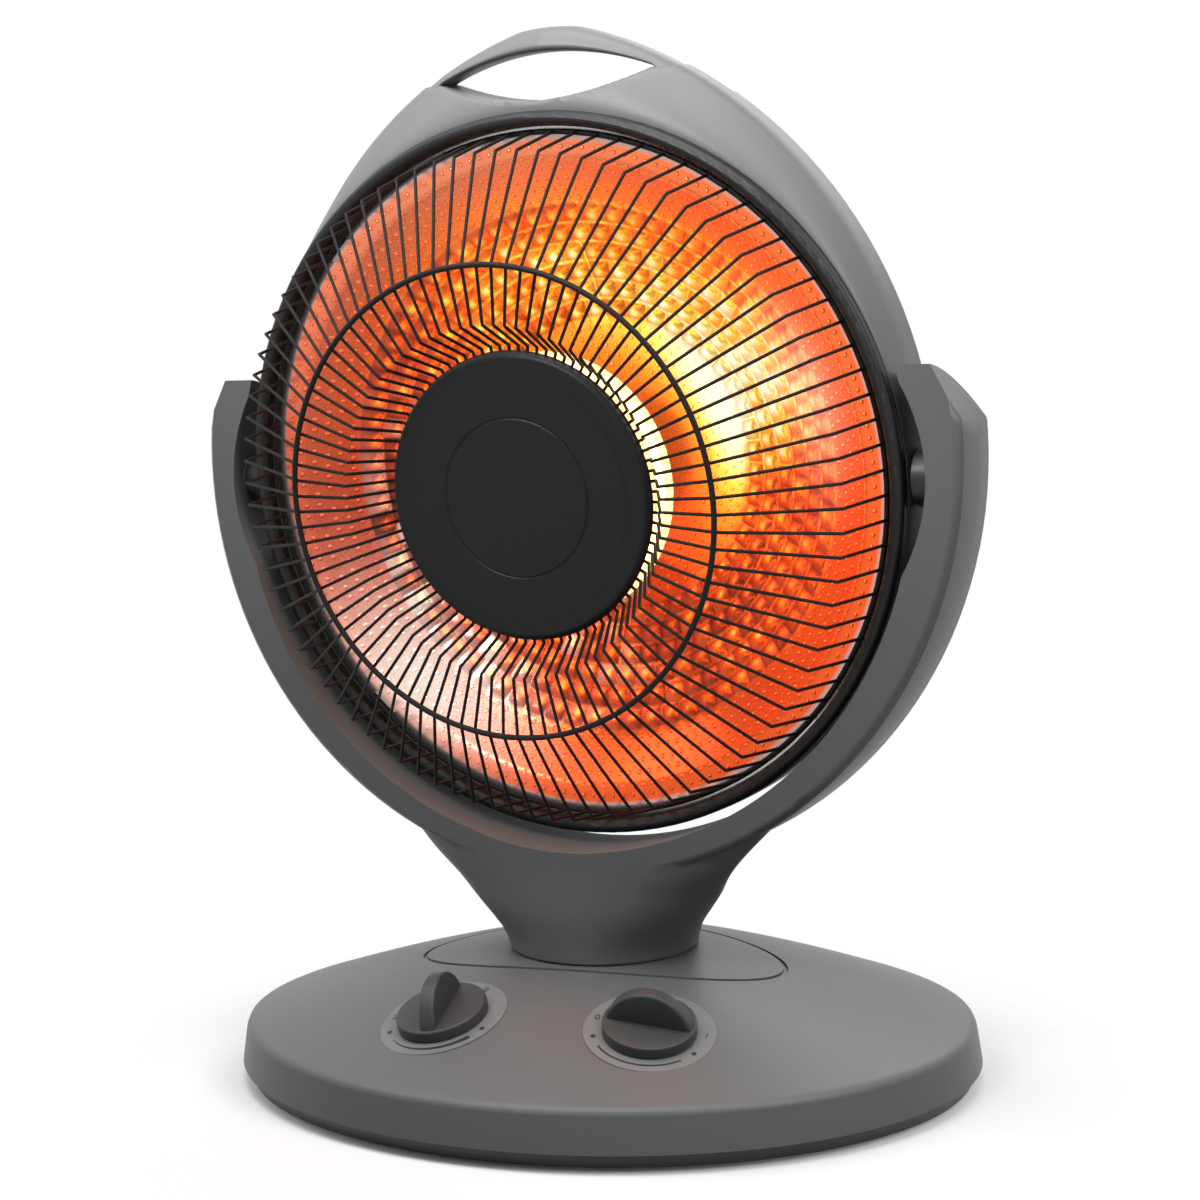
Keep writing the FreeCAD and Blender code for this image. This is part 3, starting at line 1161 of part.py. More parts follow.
def reflector():
    outer = turned("reflector", [
        (S.reflector_flange, -REFLECTOR_FACE),
        (S.reflector_mouth, -REFLECTOR_FACE, S.reflector_curve * -1),
        (S.reflector_floor, -REFLECTOR_FLOOR),
        (as_size(0), -REFLECTOR_FLOOR),
        (as_size(0), -REFLECTOR_FLOOR - S.reflector_sheet),
        (S.reflector_floor, -REFLECTOR_FLOOR - S.reflector_sheet, S.reflector_curve),
        (S.reflector_mouth, -REFLECTOR_FACE - S.reflector_sheet),
        (S.reflector_flange, -REFLECTOR_FACE - S.reflector_sheet),
    ])
    outer.Placement = FORWARD
    gap = S.loose_gap
    slots = []
    for side in (-1, 1):
        x = side * HOLDER_X - S.holder_width / 2
        slots.append(box(f"reflector_slot_{side}", S.holder_width + gap * 2, ROOMY, S.holder_height + gap * 2,
                         x - gap, REFLECTOR_FACE, HOLDER_Z - S.holder_height / 2 - gap))
    for side in (-1, 1):
        inner = TRUNNION_FACE - S.trunnion_flange - S.trunnion_length - gap
        start = inner if side > 0 else -inner - ROOMY
        slots.append(cylinder(f"reflector_notch_{side}", S.trunnion_radius + gap, ROOMY, start, S.ring_forward,
                              0, "X"))
    node("reflector", cut("reflector_cut", outer, *slots), HEAD)


def lamp_gap():
    """Middle of a lamp holder, beside the gap at the foot of the lamp ring."""
    half = math.radians(float(S.lamp_gap_angle) / 2)
    return S.lamp_radius * math.sin(half), S.lamp_radius * -math.cos(half)


LAMP_END_X, LAMP_END_Z = lamp_gap()
HOLDER_X = LAMP_END_X - S.holder_width / 2 * math.cos(math.radians(float(S.lamp_gap_angle) / 2))
HOLDER_Z = LAMP_END_Z


def lamp():
    turn = Rotation(X_AXIS, 90).multiply(Rotation(Z_AXIS, -90 + float(S.lamp_gap_angle) / 2))

    def ring(name, wire):
        obj = doc.addObject("Part::Torus", name)
        bind(obj, Radius1=S.lamp_radius, Radius2=wire, Angle3=360 - S.lamp_gap_angle)
        return at(obj, 0, -S.lamp_forward, 0, turn)

    outside = ring("lamp_outside", S.lamp_tube_radius)
    inside = ring("lamp_inside", S.lamp_tube_radius - S.lamp_glass)
    node("lamp_tube", cut("lamp_glass", outside, inside), HEAD)
    node("lamp_filament", ring("filament_ring", S.filament_radius), HEAD)
    holders = []
    reach = BRACKET_FACE + S.lamp_forward + S.holder_height / 2
    for side in (-1, 1):
        x = side * HOLDER_X - S.holder_width / 2
        block = box(f"holder_block_{side}", S.holder_width, reach, S.holder_height, x,
                    -S.lamp_forward - S.holder_height / 2, HOLDER_Z - S.holder_height / 2)
        holders.append(cut(f"holder_{side}", block, ring(f"holder_seat_{side}", S.lamp_tube_radius)))
    set_node("lamp_holders", holders, HEAD)
    node("lamp_bracket", cylinder("bracket", S.bracket_radius, S.bracket_sheet, 0, BRACKET_FACE, 0, "Y"), HEAD)
    rear = BRACKET_FACE + S.bracket_sheet
    node("thermal_cutout", cylinder("cutout", S.cutout_radius, S.cutout_length, 0, rear, 0, "Y"), HEAD)


def guard_wire():
    """One guard wire: straight runs from the edge over the bend and the crest to the hub."""
    hub = float(S.hub_radius)
    depth = float(S.guard_hub_depth)
    edge = float(S.guard_edge_radius)
    stops = [(edge, float(S.guard_edge_depth)),
             (edge - float(S.guard_bend_inset), float(S.guard_bend_depth)),
             (float(S.guard_mid_radius), float(S.guard_mid_depth)),
             (float(S.guard_crest_radius), float(S.guard_crest_depth)),
             (hub + float(S.guard_hub_lead), depth), (hub - float(S.guard_tuck), depth)]
    points = [Vector(radius, -ahead, 0) for radius, ahead in stops]
    pieces = []
    for start, stop in zip(points, points[1:]):
        run = stop - start
        pieces.append(Part.makeCylinder(float(S.guard_wire), run.Length, start, run))
    for corner in points[1:-1]:
        pieces.append(Part.makeSphere(float(S.guard_wire), corner))
    return pieces[0].multiFuse(pieces[1:]).removeSplitter()


def guard():
    wire = guard_wire()
    count = int(S.guard_count.number)
    wires = []
    for index in range(count):
        copy = wire.copy()
        copy.rotate(Vector(), Y_AXIS, 360 * (index + 0.5) / count)
        wires.append(copy)
    node("guard_wires", feature("guard_wires", Part.makeCompound(wires)), HEAD, count)
    edge = S.guard_edge_depth - S.guard_ring_wire - S.loose_gap
    node("guard_outer_ring", torus("outer_ring", S.guard_edge_radius, S.guard_ring_wire, y=-edge, along="Y"), HEAD)
    crest = S.guard_mid_depth + S.guard_wire + S.guard_ring_wire + S.fit_gap
    node("guard_mid_ring", torus("mid_ring", S.guard_mid_radius, S.guard_ring_wire, y=-crest, along="Y"), HEAD)
    lip = turned("lip", [
        (S.lip_inner, as_size(0)), (S.lip_outer, as_size(0)),
        (S.lip_outer, S.lip_height - S.lip_round, S.lip_round),
        (S.lip_outer - S.lip_round, S.lip_height),
        (S.lip_inner + S.lip_round, S.lip_height, S.lip_round),
        (S.lip_inner, S.lip_height - S.lip_round),
    ])
    lip.Placement = FORWARD
    node("guard_lip", lip, HEAD)
    clips = []
    low = S.guard_edge_depth - S.guard_ring_wire * 2 - S.loose_gap
    inner = S.guard_edge_radius - S.clip_thickness / 2
    for index, turn in enumerate(spread(GUARD_CLIPS, 45)):
        clip = box(f"clip_{index}", S.clip_thickness, low + REFLECTOR_FACE, S.clip_width, inner, -low,
                   -S.clip_width / 2)
        clips.append(placed(clip, Placement(Vector(), Rotation(Y_AXIS, math.degrees(turn)))))
    set_node("guard_clips", clips, HEAD)


def hub():
    front = HUB_SEAT + S.hub_height
    low = front - S.hub_step
    side = S.hub_groove
    cap = turned("cap", [
        (as_size(0), HUB_SEAT), (S.hub_radius, HUB_SEAT),
        (S.hub_radius, low - S.hub_round, S.hub_round),
        (S.hub_radius - S.hub_round, low),
        (S.hub_step_radius + S.hub_step, low), (S.hub_step_radius, front),
        (S.hub_groove_radius + side, front), (S.hub_groove_radius, front - S.hub_groove),
        (S.hub_groove_radius - side, front), (as_size(0), front),
    ])
    cap.Placement = FORWARD
    pilot = cylinder("cap_pilot", S.screw_radius, S.hub_height - S.hub_sheet, 0, -front + S.hub_sheet, 0, "Y")
    node("hub_cap", cut("hub_cap", cap, pilot), HEAD)
    plate = cylinder("plate_disc", S.hub_plate_radius, S.hub_plate, 0, -PLATE_FACE, 0, "Y")
    hole = cylinder("plate_eye", S.screw_radius, S.hub_plate, 0, -PLATE_FACE, 0, "Y")
    node("hub_plate", cut("hub_plate", plate, hole), HEAD)
    rear = PLATE_FACE - S.hub_plate
    length = front - S.hub_sheet - rear
    shank = cylinder("hub_screw_shank", S.screw_radius, length, 0, -rear - length, 0, "Y")
    cap_head = cylinder("hub_screw_head", S.hub_screw_head, S.screw_head_height, 0, -rear, 0, "Y")
    node("hub_screw", fuse("hub_screw", shank, cap_head), HEAD)


def check_and_write():
    """Stop on any failed object, then write one file for each sub-part."""
    doc.recompute()
    failed = [obj.Name for obj in doc.Objects if "Invalid" in obj.State or "Error" in obj.State]
    for label, (obj, solids) in nodes.items():
        if obj.Shape.isNull() or not obj.Shape.isValid() or len(obj.Shape.Solids) != solids:
            failed.append(label)
    if failed:
        raise RuntimeError("failed objects: " + ", ".join(failed))
    os.makedirs("parts", exist_ok=True)
    for label, (obj, solids) in nodes.items():
        obj.Shape.exportStep(os.path.join("parts", label + ".step"))
        print(label, solids, "solids", round(obj.Shape.Volume / 1000, 2), "cm3")


base_plate()
base_cover()
base_fittings()
knob_and_switch("heat", KNOBS["heat"], 90)
knob_and_switch("oscillation", KNOBS["oscillation"], 0)
gears()
motor()
swivel()
yoke()
housing()
rear_cover()
trunnions()
reflector()
lamp()
guard()
hub()
check_and_write()
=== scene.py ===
"""Looks of a free-standing halogen dish heater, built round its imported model.

Metres, +Z up, and the head faces -Y. The file is laid out as an add-on and is run as a script.
"""

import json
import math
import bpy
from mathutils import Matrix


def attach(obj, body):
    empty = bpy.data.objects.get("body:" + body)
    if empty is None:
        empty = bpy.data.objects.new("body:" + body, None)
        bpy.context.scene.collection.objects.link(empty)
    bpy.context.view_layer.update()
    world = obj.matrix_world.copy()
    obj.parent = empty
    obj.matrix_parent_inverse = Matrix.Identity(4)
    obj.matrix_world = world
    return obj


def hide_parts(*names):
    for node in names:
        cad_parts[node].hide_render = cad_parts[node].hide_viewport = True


bl_info = {
    "name": "Halogen dish heater",
    "version": (1, 0, 0),
    "blender": (4, 5, 0),
    "location": "3D View > Sidebar > Heater",
    "description": "Dresses the packed model of a halogen dish heater and sets its stage",
    "category": "Object",
}

import bmesh
import bpy
import numpy as np
from bpy.props import FloatProperty, FloatVectorProperty, IntProperty, PointerProperty
from mathutils import Matrix, Vector

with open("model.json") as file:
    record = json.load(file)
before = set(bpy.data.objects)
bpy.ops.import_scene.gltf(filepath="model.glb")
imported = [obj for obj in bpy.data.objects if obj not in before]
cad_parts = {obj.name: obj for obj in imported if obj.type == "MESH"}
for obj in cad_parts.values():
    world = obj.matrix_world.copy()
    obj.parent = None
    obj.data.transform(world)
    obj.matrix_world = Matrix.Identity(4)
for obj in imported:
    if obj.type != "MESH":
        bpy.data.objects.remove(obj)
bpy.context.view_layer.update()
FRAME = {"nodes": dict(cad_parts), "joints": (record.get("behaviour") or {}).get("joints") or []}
NODES = FRAME["nodes"]
JOINTS = {joint["name"]: joint for joint in FRAME["joints"]}
MM = 0.001

# The head's own frame: its origin is the middle of the front face, x goes right, y back and z up
HEAD_TILT = math.radians(6.5)
HEAD_TURN = np.array(Matrix.Rotation(HEAD_TILT, 3, "X"))
PIVOT = np.array(JOINTS["tilt"]["pos_m"])
FACE_AHEAD = 11.4 * MM
HEAD_ORIGIN = PIVOT + HEAD_TURN @ np.array((0.0, -FACE_AHEAD, 0.0))
# The base stands turned under the head, so its own front and right are turned too
BASE_SWING = math.radians(9.5)
BASE_FRONT = np.array((math.sin(BASE_SWING), -math.cos(BASE_SWING), 0.0))
BASE_RIGHT = np.array((math.cos(BASE_SWING), math.sin(BASE_SWING), 0.0))
# Edges that turn by less than this are part of a round surface
SMOOTH_ANGLE = math.radians(50)
# Points closer than this are one point: in new pieces, and in the solids' triangles
SAME_POINT = 0.001 * MM
SAME_CORNER = 0.01 * MM
# Faces that differ by less than this are one flat area
FLAT_ANGLE = math.radians(0.5)
# Steps round the dish and the bezel
STEPS_AROUND = 720


def linear(code):
    """Linear colour of an sRGB hex value."""
    levels = np.array([int(code[start:start + 2], 16) for start in (1, 3, 5)]) / 255
    return tuple(np.where(levels <= 0.04045, levels / 12.92, ((levels + 0.055) / 1.055) ** 2.4))


def colour(name, description, code):
    """Colour setting with an sRGB hex value as its default."""
    return FloatVectorProperty(name=name, description=description, subtype="COLOR", size=3, min=0, max=1,
                               default=linear(code))


def length(name, description, millimetres):
    """Length setting with its default in millimetres."""
    return FloatProperty(name=name, description=description, subtype="DISTANCE", unit="LENGTH", min=0,
                         default=millimetres * MM)


class HeaterColours(bpy.types.PropertyGroup):
    """Colours of the heater's finishes."""

    shell: colour("Shell", "Satin grey of the moulded shells", "#646566")
    plate: colour("Base plate", "Black of the base plate and gland", "#1c1c1d")
    hub: colour("Hub", "Black of the hub cap", "#121313")
    knob: colour("Knob", "Charcoal of the knobs", "#3d3e3f")
    dial: colour("Dial", "Grey of the dial plates", "#78797a")
    ink: colour("Ink", "Black of the printed marks", "#161616")
    guard: colour("Guard", "Black coat of the guard wires", "#0c0c0c")
    lip: colour("Lip", "Satin black of the guard's lip", "#121213")
    dish: colour("Dish", "Polished aluminium of the dish's rim and back", "#c9c7c4")
    lamp: colour("Lamp", "Glow of the lamp's tube", "#ffe6b0")
    coil: colour("Coil", "Glow of the lamp's coil", "#ffe2ad")
    ceramic: colour("Ceramic", "Cream of the lamp holders", "#d9d2c2")
    switch: colour("Switch", "Brown-black of the switch housings", "#2b2826")
    acetal: colour("Acetal", "Black of the bushes and washers", "#1a1a1b")
    iron: colour("Iron", "Dark grey of the ballast", "#4a4a4b")
    nylon: colour("Nylon", "Natural nylon of gears and shafts", "#dcd8cc")
    steel: colour("Steel", "Zinc-plated steel of the fasteners", "#b9bbbd")
    rubber: colour("Rubber", "Rubber of the feet", "#19191a")
    floor: colour("Floor", "Pale studio floor", "#f4f4f3")


class DishSizes(bpy.types.PropertyGroup):
    """Sizes of the pattern pressed into the dish."""

    dimple_start: length("Dimples from", "Radius where the dimples begin", 71)
    dimple_row: length("Dimple row", "Spacing of the dimple rows", 9.4)
    dimple_pitch: length("Dimple pitch", "Spacing of dimples along a row", 10.6)
    dimple_height: length("Dimple height", "Height of a dimple", 1.5)
    dimple_rows: IntProperty(name="Dimple rows", description="Rows of dimples", default=6, min=1)
    stud_radius: length("Stud radius", "Radius of a small stud", 1.25)
    stud_height: length("Stud height", "Height of a small stud", 0.8)
    stud_row: length("Stud row", "Spacing of the stud rows", 4.8)
    stud_pitch: length("Stud pitch", "Spacing of studs along a row", 5.4)
    stud_stop: length("Studs from", "Radius inside which there are no studs", 45)


class MouldingSizes(bpy.types.PropertyGroup):
    """Roundings of the moulded pieces."""

    shell_edge: length("Shell edge", "Rounding of the shells' edges", 1.0)
    base_edge: length("Base edge", "Rounding of the base's upper edge", 1.6)
    hub_edge: length("Hub edge", "Rounding of the hub's edges", 0.4)
    knob_radius: length("Knob radius", "Radius of a knob's disc", 21.4)
    knob_disc: length("Knob disc", "Height of a knob's disc", 5)
    knob_edge: length("Knob edge", "Rounding of a knob's edges", 1)
    fin_radius: length("Fin radius", "Half of a knob fin's length", 20.3)
    fin_height: length("Fin height", "Height of a knob's fin above the disc's underside", 20.4)
    fin_half: length("Fin half thickness", "Half of a knob fin's thickness", 3.7)


class PrintSizes(bpy.types.PropertyGroup):
    """Sizes of the marks printed on the dials."""

    dot: length("Dot", "Radius of a printed dot", 1.2)
    ring: length("Ring", "Radius of the circle that the marks lie on", 25.6)
    thick: length("Thickness", "Thickness of the print", 0.12)
    number: length("Number", "Height of a printed number", 5.2)


class StageSettings(bpy.types.PropertyGroup):
    """Lights of the stage."""

    key: FloatProperty(name="Key", description="Power of the overhead light", default=15, min=0, unit="POWER")
    front: FloatProperty(name="Front", description="Power of the light on the head", default=0.8, min=0, unit="POWER")
    rim: FloatProperty(name="Rim", description="Power that the side and rear lights go by", default=1.8, min=0,
                       unit="POWER")
    sky: FloatProperty(name="Sky", description="Strength of the surrounding light", default=0.08, min=0)


def settings(name):
    """One of the heater's groups of settings."""
    return getattr(bpy.context.scene, name)


def in_head(points):
    """Points of the head's frame in the model's frame: turned by the tilt, then moved to the face's middle."""
    return points @ HEAD_TURN.T + HEAD_ORIGIN


def grid_faces(rows, columns, ring=False):
    """Quads of a grid of points that closes on itself along its columns, and for a ring along its rows too."""
    row, column = np.meshgrid(np.arange(rows if ring else rows - 1), np.arange(columns), indexing="ij")
    above, after = (row + 1) % rows, (column + 1) % columns
    corners = (row * columns + column, row * columns + after, above * columns + after, above * columns + column)
    return np.stack(corners, axis=-1).reshape(-1, 4).tolist()


def capped_faces(rows, columns):
    """Faces of a tube with closed ends: a grid's quads and one flat cap at its first and last row."""
    last = (rows - 1) * columns
    return grid_faces(rows, columns) + [list(range(columns - 1, -1, -1)), list(range(last, last + columns))]


def piece(name, points, faces, material, body, slot, smooth=True):
    """New mesh piece that rides on a body: points that coincide are merged, and its faces are turned outwards. Its
    slot argument is not used."""
    mesh = bpy.data.meshes.new(name)
    mesh.from_pydata(points.reshape(-1, 3).tolist(), [], faces)
    work = bmesh.new()
    work.from_mesh(mesh)
    bmesh.ops.remove_doubles(work, verts=work.verts, dist=SAME_POINT)
    bmesh.ops.recalc_face_normals(work, faces=work.faces)
    work.to_mesh(mesh)
    work.free()
    mesh.polygons.foreach_set("use_smooth", np.full(len(mesh.polygons), smooth))
    if smooth:
        mesh.set_sharp_from_angle(angle=SMOOTH_ANGLE)
    obj = bpy.data.objects.new(name, mesh)
    bpy.context.scene.collection.objects.link(obj)
    mesh.materials.append(material)
    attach(obj, body)
    return obj


def add(tree, kind, inputs=None, **choices):
    """Add a node; an input that is a socket is linked, and any other is set."""
    made = tree.nodes.new("ShaderNode" + kind)
    for key, value in choices.items():
        setattr(made, key, value)
    for key, value in (inputs or {}).items():
        if isinstance(value, bpy.types.NodeSocket):
            tree.links.new(value, made.inputs[key])
        else:
            made.inputs[key].default_value = value
    return made


def new_material(name):
    """New material with an empty node tree."""
    made = bpy.data.materials.new(name)
    made.use_nodes = True
    made.node_tree.nodes.clear()
    return made, made.node_tree


def close(tree, shader):
    """Lead a shader to the material's output."""
    add(tree, "OutputMaterial", {"Surface": shader.outputs[0]})


def opaque(rgb):
    """Colour with full alpha, as a shader's socket takes it."""
    return (*rgb, 1.0)


# Distance over which the tone of a moulding drifts
DRIFT = 55 * MM


def moulded(name, rgb, roughness, peel_mm, peel_height_mm, ior=1.5, mottle=0.06):
    """Moulded or coated surface: a faint peel, a gloss that varies with it, and a tone that drifts over the part."""
    made, tree = new_material(name)
    place = add(tree, "TexCoord").outputs["Object"]
    peel = add(tree, "TexNoise", {"Vector": place, "Scale": 1 / (peel_mm * MM), "Detail": 3.0, "Roughness": 0.55})
    bump = add(tree, "Bump", {"Height": peel.outputs["Fac"], "Strength": 0.35, "Distance": peel_height_mm * MM})
    drift = add(tree, "TexNoise", {"Vector": place, "Scale": 1 / DRIFT, "Detail": 2.0})
    low = opaque(np.array(rgb) * (1 - mottle))
    high = opaque(np.minimum(np.array(rgb) * (1 + mottle), 1))
    tone = add(tree, "Mix", {0: drift.outputs["Fac"], 6: low, 7: high}, data_type="RGBA")
    gloss = add(tree, "MapRange", {"Value": peel.outputs["Fac"], "From Min": 0.3, "From Max": 0.7,
                                   "To Min": roughness * 0.88, "To Max": roughness * 1.12})
    shader = add(tree, "BsdfPrincipled", {
        "Base Color": tone.outputs[2], "Roughness": gloss.outputs[0], "Normal": bump.outputs[0], "IOR": ior})
    close(tree, shader)
    return made


def plated(name, rgb, roughness, scratch_mm):
    """Plated or bare metal with fine scratches that break up its gloss."""
    made, tree = new_material(name)
    place = add(tree, "TexCoord").outputs["Object"]
    scratch = add(tree, "TexNoise", {"Vector": place, "Scale": 1 / (scratch_mm * MM), "Detail": 4.0})
    gloss = add(tree, "MapRange", {"Value": scratch.outputs["Fac"], "To Min": roughness * 0.7,
                                   "To Max": roughness * 1.3})
    bump = add(tree, "Bump", {"Height": scratch.outputs["Fac"], "Strength": 0.2, "Distance": 0.05 * MM})
    shader = add(tree, "BsdfPrincipled", {"Base Color": opaque(rgb), "Metallic": 1.0, "Roughness": gloss.outputs[0],
                                          "Normal": bump.outputs[0]})
    close(tree, shader)
    return made


def dress(material, *names):
    """Give CAD nodes a finish."""
    for name in names:
        mesh = NODES[name].data
        mesh.materials.clear()
        mesh.materials.append(material)


def moulding(name, node, body, material, edge):
    """Smooth copy of a CAD moulding: its triangles welded, flat areas joined, round areas shaded smooth and its
    sharp edges rounded."""
    mesh = NODES[node].data.copy()
    mesh.name = name
    work = bmesh.new()
    work.from_mesh(mesh)
    bmesh.ops.remove_doubles(work, verts=work.verts, dist=SAME_CORNER)
    bmesh.ops.dissolve_limit(work, angle_limit=FLAT_ANGLE, verts=work.verts, edges=work.edges)
    for face in work.faces:
        face.smooth = True
    for ridge in work.edges:
        ridge.smooth = ridge.is_manifold and ridge.calc_face_angle() < SMOOTH_ANGLE
    work.to_mesh(mesh)
    work.free()
    mesh.materials.clear()
    mesh.materials.append(material)
    obj = bpy.data.objects.new(name, mesh)
    bpy.context.scene.collection.objects.link(obj)
    rounding = obj.modifiers.new("rounded_edges", "BEVEL")
    rounding.width = edge
    rounding.segments = 3
    rounding.limit_method = "ANGLE"
    rounding.angle_limit = SMOOTH_ANGLE
    flats = obj.modifiers.new("flat_areas", "WEIGHTED_NORMAL")
    flats.keep_sharp = True
    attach(obj, body)
    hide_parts(node)


def colour_attribute(obj, rgb, strength):
    """Store the painted lamplight's colour and its painted emission strength at each point."""
    layer = obj.data.color_attributes.new("painted_lamplight", "FLOAT_COLOR", "POINT")
    layer.data.foreach_set("color", np.column_stack([rgb, strength]).astype(np.float32).ravel())


# The dish's profile: from the flat cap in its middle over its floor and arc to the mouth, and out to the flange
DISH_CAP = 4 * MM
DISH_FLOOR = 34 * MM
DISH_MOUTH = 150 * MM
DISH_FLANGE = 167 * MM
DISH_FACE = 2.5 * MM
DISH_DEPTH = 63 * MM
DISH_CURVE = 205 * MM
DISH_SHEET = 1 * MM
# The dish's bare outer rim
RIM_START = 157 * MM
RIM_FADE = 2 * MM
# Rings of points on the plain parts of the dish and across each row of dimples; the back has one in six
PLAIN_RINGS = 9
DIMPLE_RINGS = 8
BACK_STEP = 6


def dish_depth(radius):
    """Depth of the dish behind the face: a circular arc from the flat floor to the mouth, level beyond them."""
    chord = np.array((DISH_MOUTH - DISH_FLOOR, DISH_DEPTH))
    middle = np.array(((DISH_MOUTH + DISH_FLOOR) / 2, DISH_FACE + DISH_DEPTH / 2))
    span = np.hypot(*chord)
    outward = np.array((chord[1], chord[0])) / span
    centre = middle - outward * math.sqrt(DISH_CURVE ** 2 - span ** 2 / 4)
    held = np.clip(radius, DISH_FLOOR, DISH_MOUTH)
    return centre[1] + np.sqrt(DISH_CURVE ** 2 - (held - centre[0]) ** 2)


def dimples(radius, angle, sizes):
    """Pressed dimples as shares: pillows in staggered rings, (1 - u^2)(1 - v^2) over each cell, a painted highlight on
    the side of each that faces the lamp, a round bump off its middle, and a scattered number for each."""
    along = (radius - sizes.dimple_start) / sizes.dimple_row
    row = np.floor(along)
    count = np.round(2 * math.pi * (sizes.dimple_start + (row + 0.5) * sizes.dimple_row) / sizes.dimple_pitch)
    around = angle * count / (2 * math.pi) + 0.5 * (row % 2)
    u = 2 * (along - row) - 1
    v = 2 * (around - np.floor(around)) - 1
    inside = (row >= 0) & (row < sizes.dimple_rows)
    pillow = np.where(inside, (1 - u ** 2) * (1 - v ** 2), 0)
    # Painted highlight where each dimple faces the lamp
    glint = np.where(inside, np.exp(-((u + 0.35) ** 2 / 0.16 + (v - 0.25) ** 2 / 0.24)), 0)
    own = np.sin(row * 12.99 + (np.floor(around) % count) * 78.23) * 437.58
    return pillow, glint, np.where(inside, own - np.floor(own), 0.5)


# Painted shade of the plain sheet between the patterns
PLAIN_PAINTED_SHADE = 0.85
# Colours of the lamp's light painted on the dish as glow and reflection, from its darkest red to white heat
PAINTED_GLOW_STOPS = (0.0, 0.25, 0.5, 0.72, 0.95, 1.25)
PAINTED_GLOW_CODES = ("#5a1a0e", "#b8442a", "#ea5a24", "#fb8a2e", "#ffc850", "#fff3d2")
# Colour of the painted white highlights, colour of the duller painted glow at the top left, and strength of the painted
# emission
PAINTED_HIGHLIGHT_CODE = "#fbeade"
PAINTED_DIM_GLOW_CODE = "#d08a70"
PAINTED_GLOW_POWER = 0.52
# Spots of painted glow, painted white highlights, painted sparkle and duller painted glow: weight, middle and width
# of the angle in degrees, middle and width of the radius in millimetres
PAINTED_GLOW_SPOTS = ((0.4, 80, 62, 92, 38), (0.5, 27, 24, 98, 26), (0.7, 22, 46, 62, 18))
PAINTED_HIGHLIGHT_SPOTS = ((0.95, 226, 20, 140, 20), (0.4, 18, 18, 122, 18))
PAINTED_SPARKLE_SPOTS = ((0.9, 218, 34, 100, 32),)
PAINTED_DIM_GLOW_SPOTS = ((0.6, 115, 56, 152, 20),)


def lobe(angle, middle, width):
    """Soft bump round an angle, both in degrees."""
    away = (np.degrees(angle) - middle + 180) % 360 - 180
    return np.exp(-(away / width) ** 2)


def spots(table, radius, angle):
    """Sum of soft spots, each a bump round an angle times one round a radius."""
    return sum(weight * lobe(angle, middle, width) * np.exp(-((radius / MM - away) / reach) ** 2)
               for weight, middle, width, away, reach in table)


def painted_lamplight(radius, angle, shade, own=0.5):
    """Colour and emission strength of the lamp's light painted on the dish: a warm painted glow above and to the
    right, painted white highlights low on the left, a duller painted glow at the top left and less at the left and
    lower right. The painted shade goes towards red where it is low and towards yellow where it is high, and a
    scattered number makes one dimple warmer than the next. The bare rim keeps the dish's own colour and no glow."""
    # heat is the level on the ramp of painted colours: the painted glow spots raise it, low painted shade lowers it,
    # and it drops at the left and lower right
    heat = 0.52 + spots(PAINTED_GLOW_SPOTS, radius, angle) + 0.26 * (own - 0.5) + 0.42 * (shade - PLAIN_PAINTED_SHADE)
    heat -= 0.24 * lobe(angle, 186, 34) + 0.1 * lobe(angle, 300, 40)
    stops = np.array([linear(code) for code in PAINTED_GLOW_CODES])
    rgb = np.stack([np.interp(heat, PAINTED_GLOW_STOPS, stops[:, part]) for part in range(3)], axis=-1)
    # Painted white highlights, with painted sparkle on some dimples low on the left, whiten the colour, and a duller
    # painted glow greys it at the top left
    sparkle = np.clip(4 * own - 2.4, 0, 1)
    pale = spots(PAINTED_HIGHLIGHT_SPOTS, radius, angle) + sparkle * spots(PAINTED_SPARKLE_SPOTS, radius, angle)
    rgb += (np.array(linear(PAINTED_HIGHLIGHT_CODE)) - rgb) * np.clip(pale, 0, 1)[..., None]
    rgb += (np.array(linear(PAINTED_DIM_GLOW_CODE)) - rgb) * spots(PAINTED_DIM_GLOW_SPOTS, radius, angle)[..., None]
    edge = np.clip((radius - RIM_START) / RIM_FADE, 0, 1)
    rgb += (np.array(settings("heater_colours").dish) - rgb) * edge[..., None]
    # Painted shade darkens the colour; the painted emission follows the heat level and stops at the bare rim
    return np.clip(rgb * (0.7 + 0.3 * shade)[..., None], 0, 1), np.clip(0.6 + 0.55 * heat, 0, 1.5) * (1 - edge)


def aluminium_with_painted_lamplight():
    """Polished, pressed aluminium with the lamp's light painted on: metal whose colour is a painted reflection of the
    lamp and whose emission is a painted glow, both taken from the piece's own colours.
    """
    made, tree = new_material("pressed_aluminium_painted_lamplight")
    painted_lamplight_colour = add(tree, "Attribute", attribute_name="painted_lamplight")
    place = add(tree, "TexCoord").outputs["Object"]
    # Rolling marks of the sheet, drawn at 1.5 mm so that they show
    rolling = add(tree, "TexNoise", {"Vector": place, "Scale": 1 / (1.5 * MM), "Detail": 3.0})
    gloss = add(tree, "MapRange", {"Value": rolling.outputs["Fac"], "To Min": 0.2, "To Max": 0.34})
    power = add(tree, "Math", {0: painted_lamplight_colour.outputs["Alpha"], 1: PAINTED_GLOW_POWER}, operation="MULTIPLY")
    shader = add(tree, "BsdfPrincipled", {
        "Base Color": painted_lamplight_colour.outputs["Color"], "Metallic": 0.92, "Roughness": gloss.outputs[0],
        "Emission Color": painted_lamplight_colour.outputs["Color"], "Emission Strength": power.outputs[0]})
    close(tree, shader)
    return made


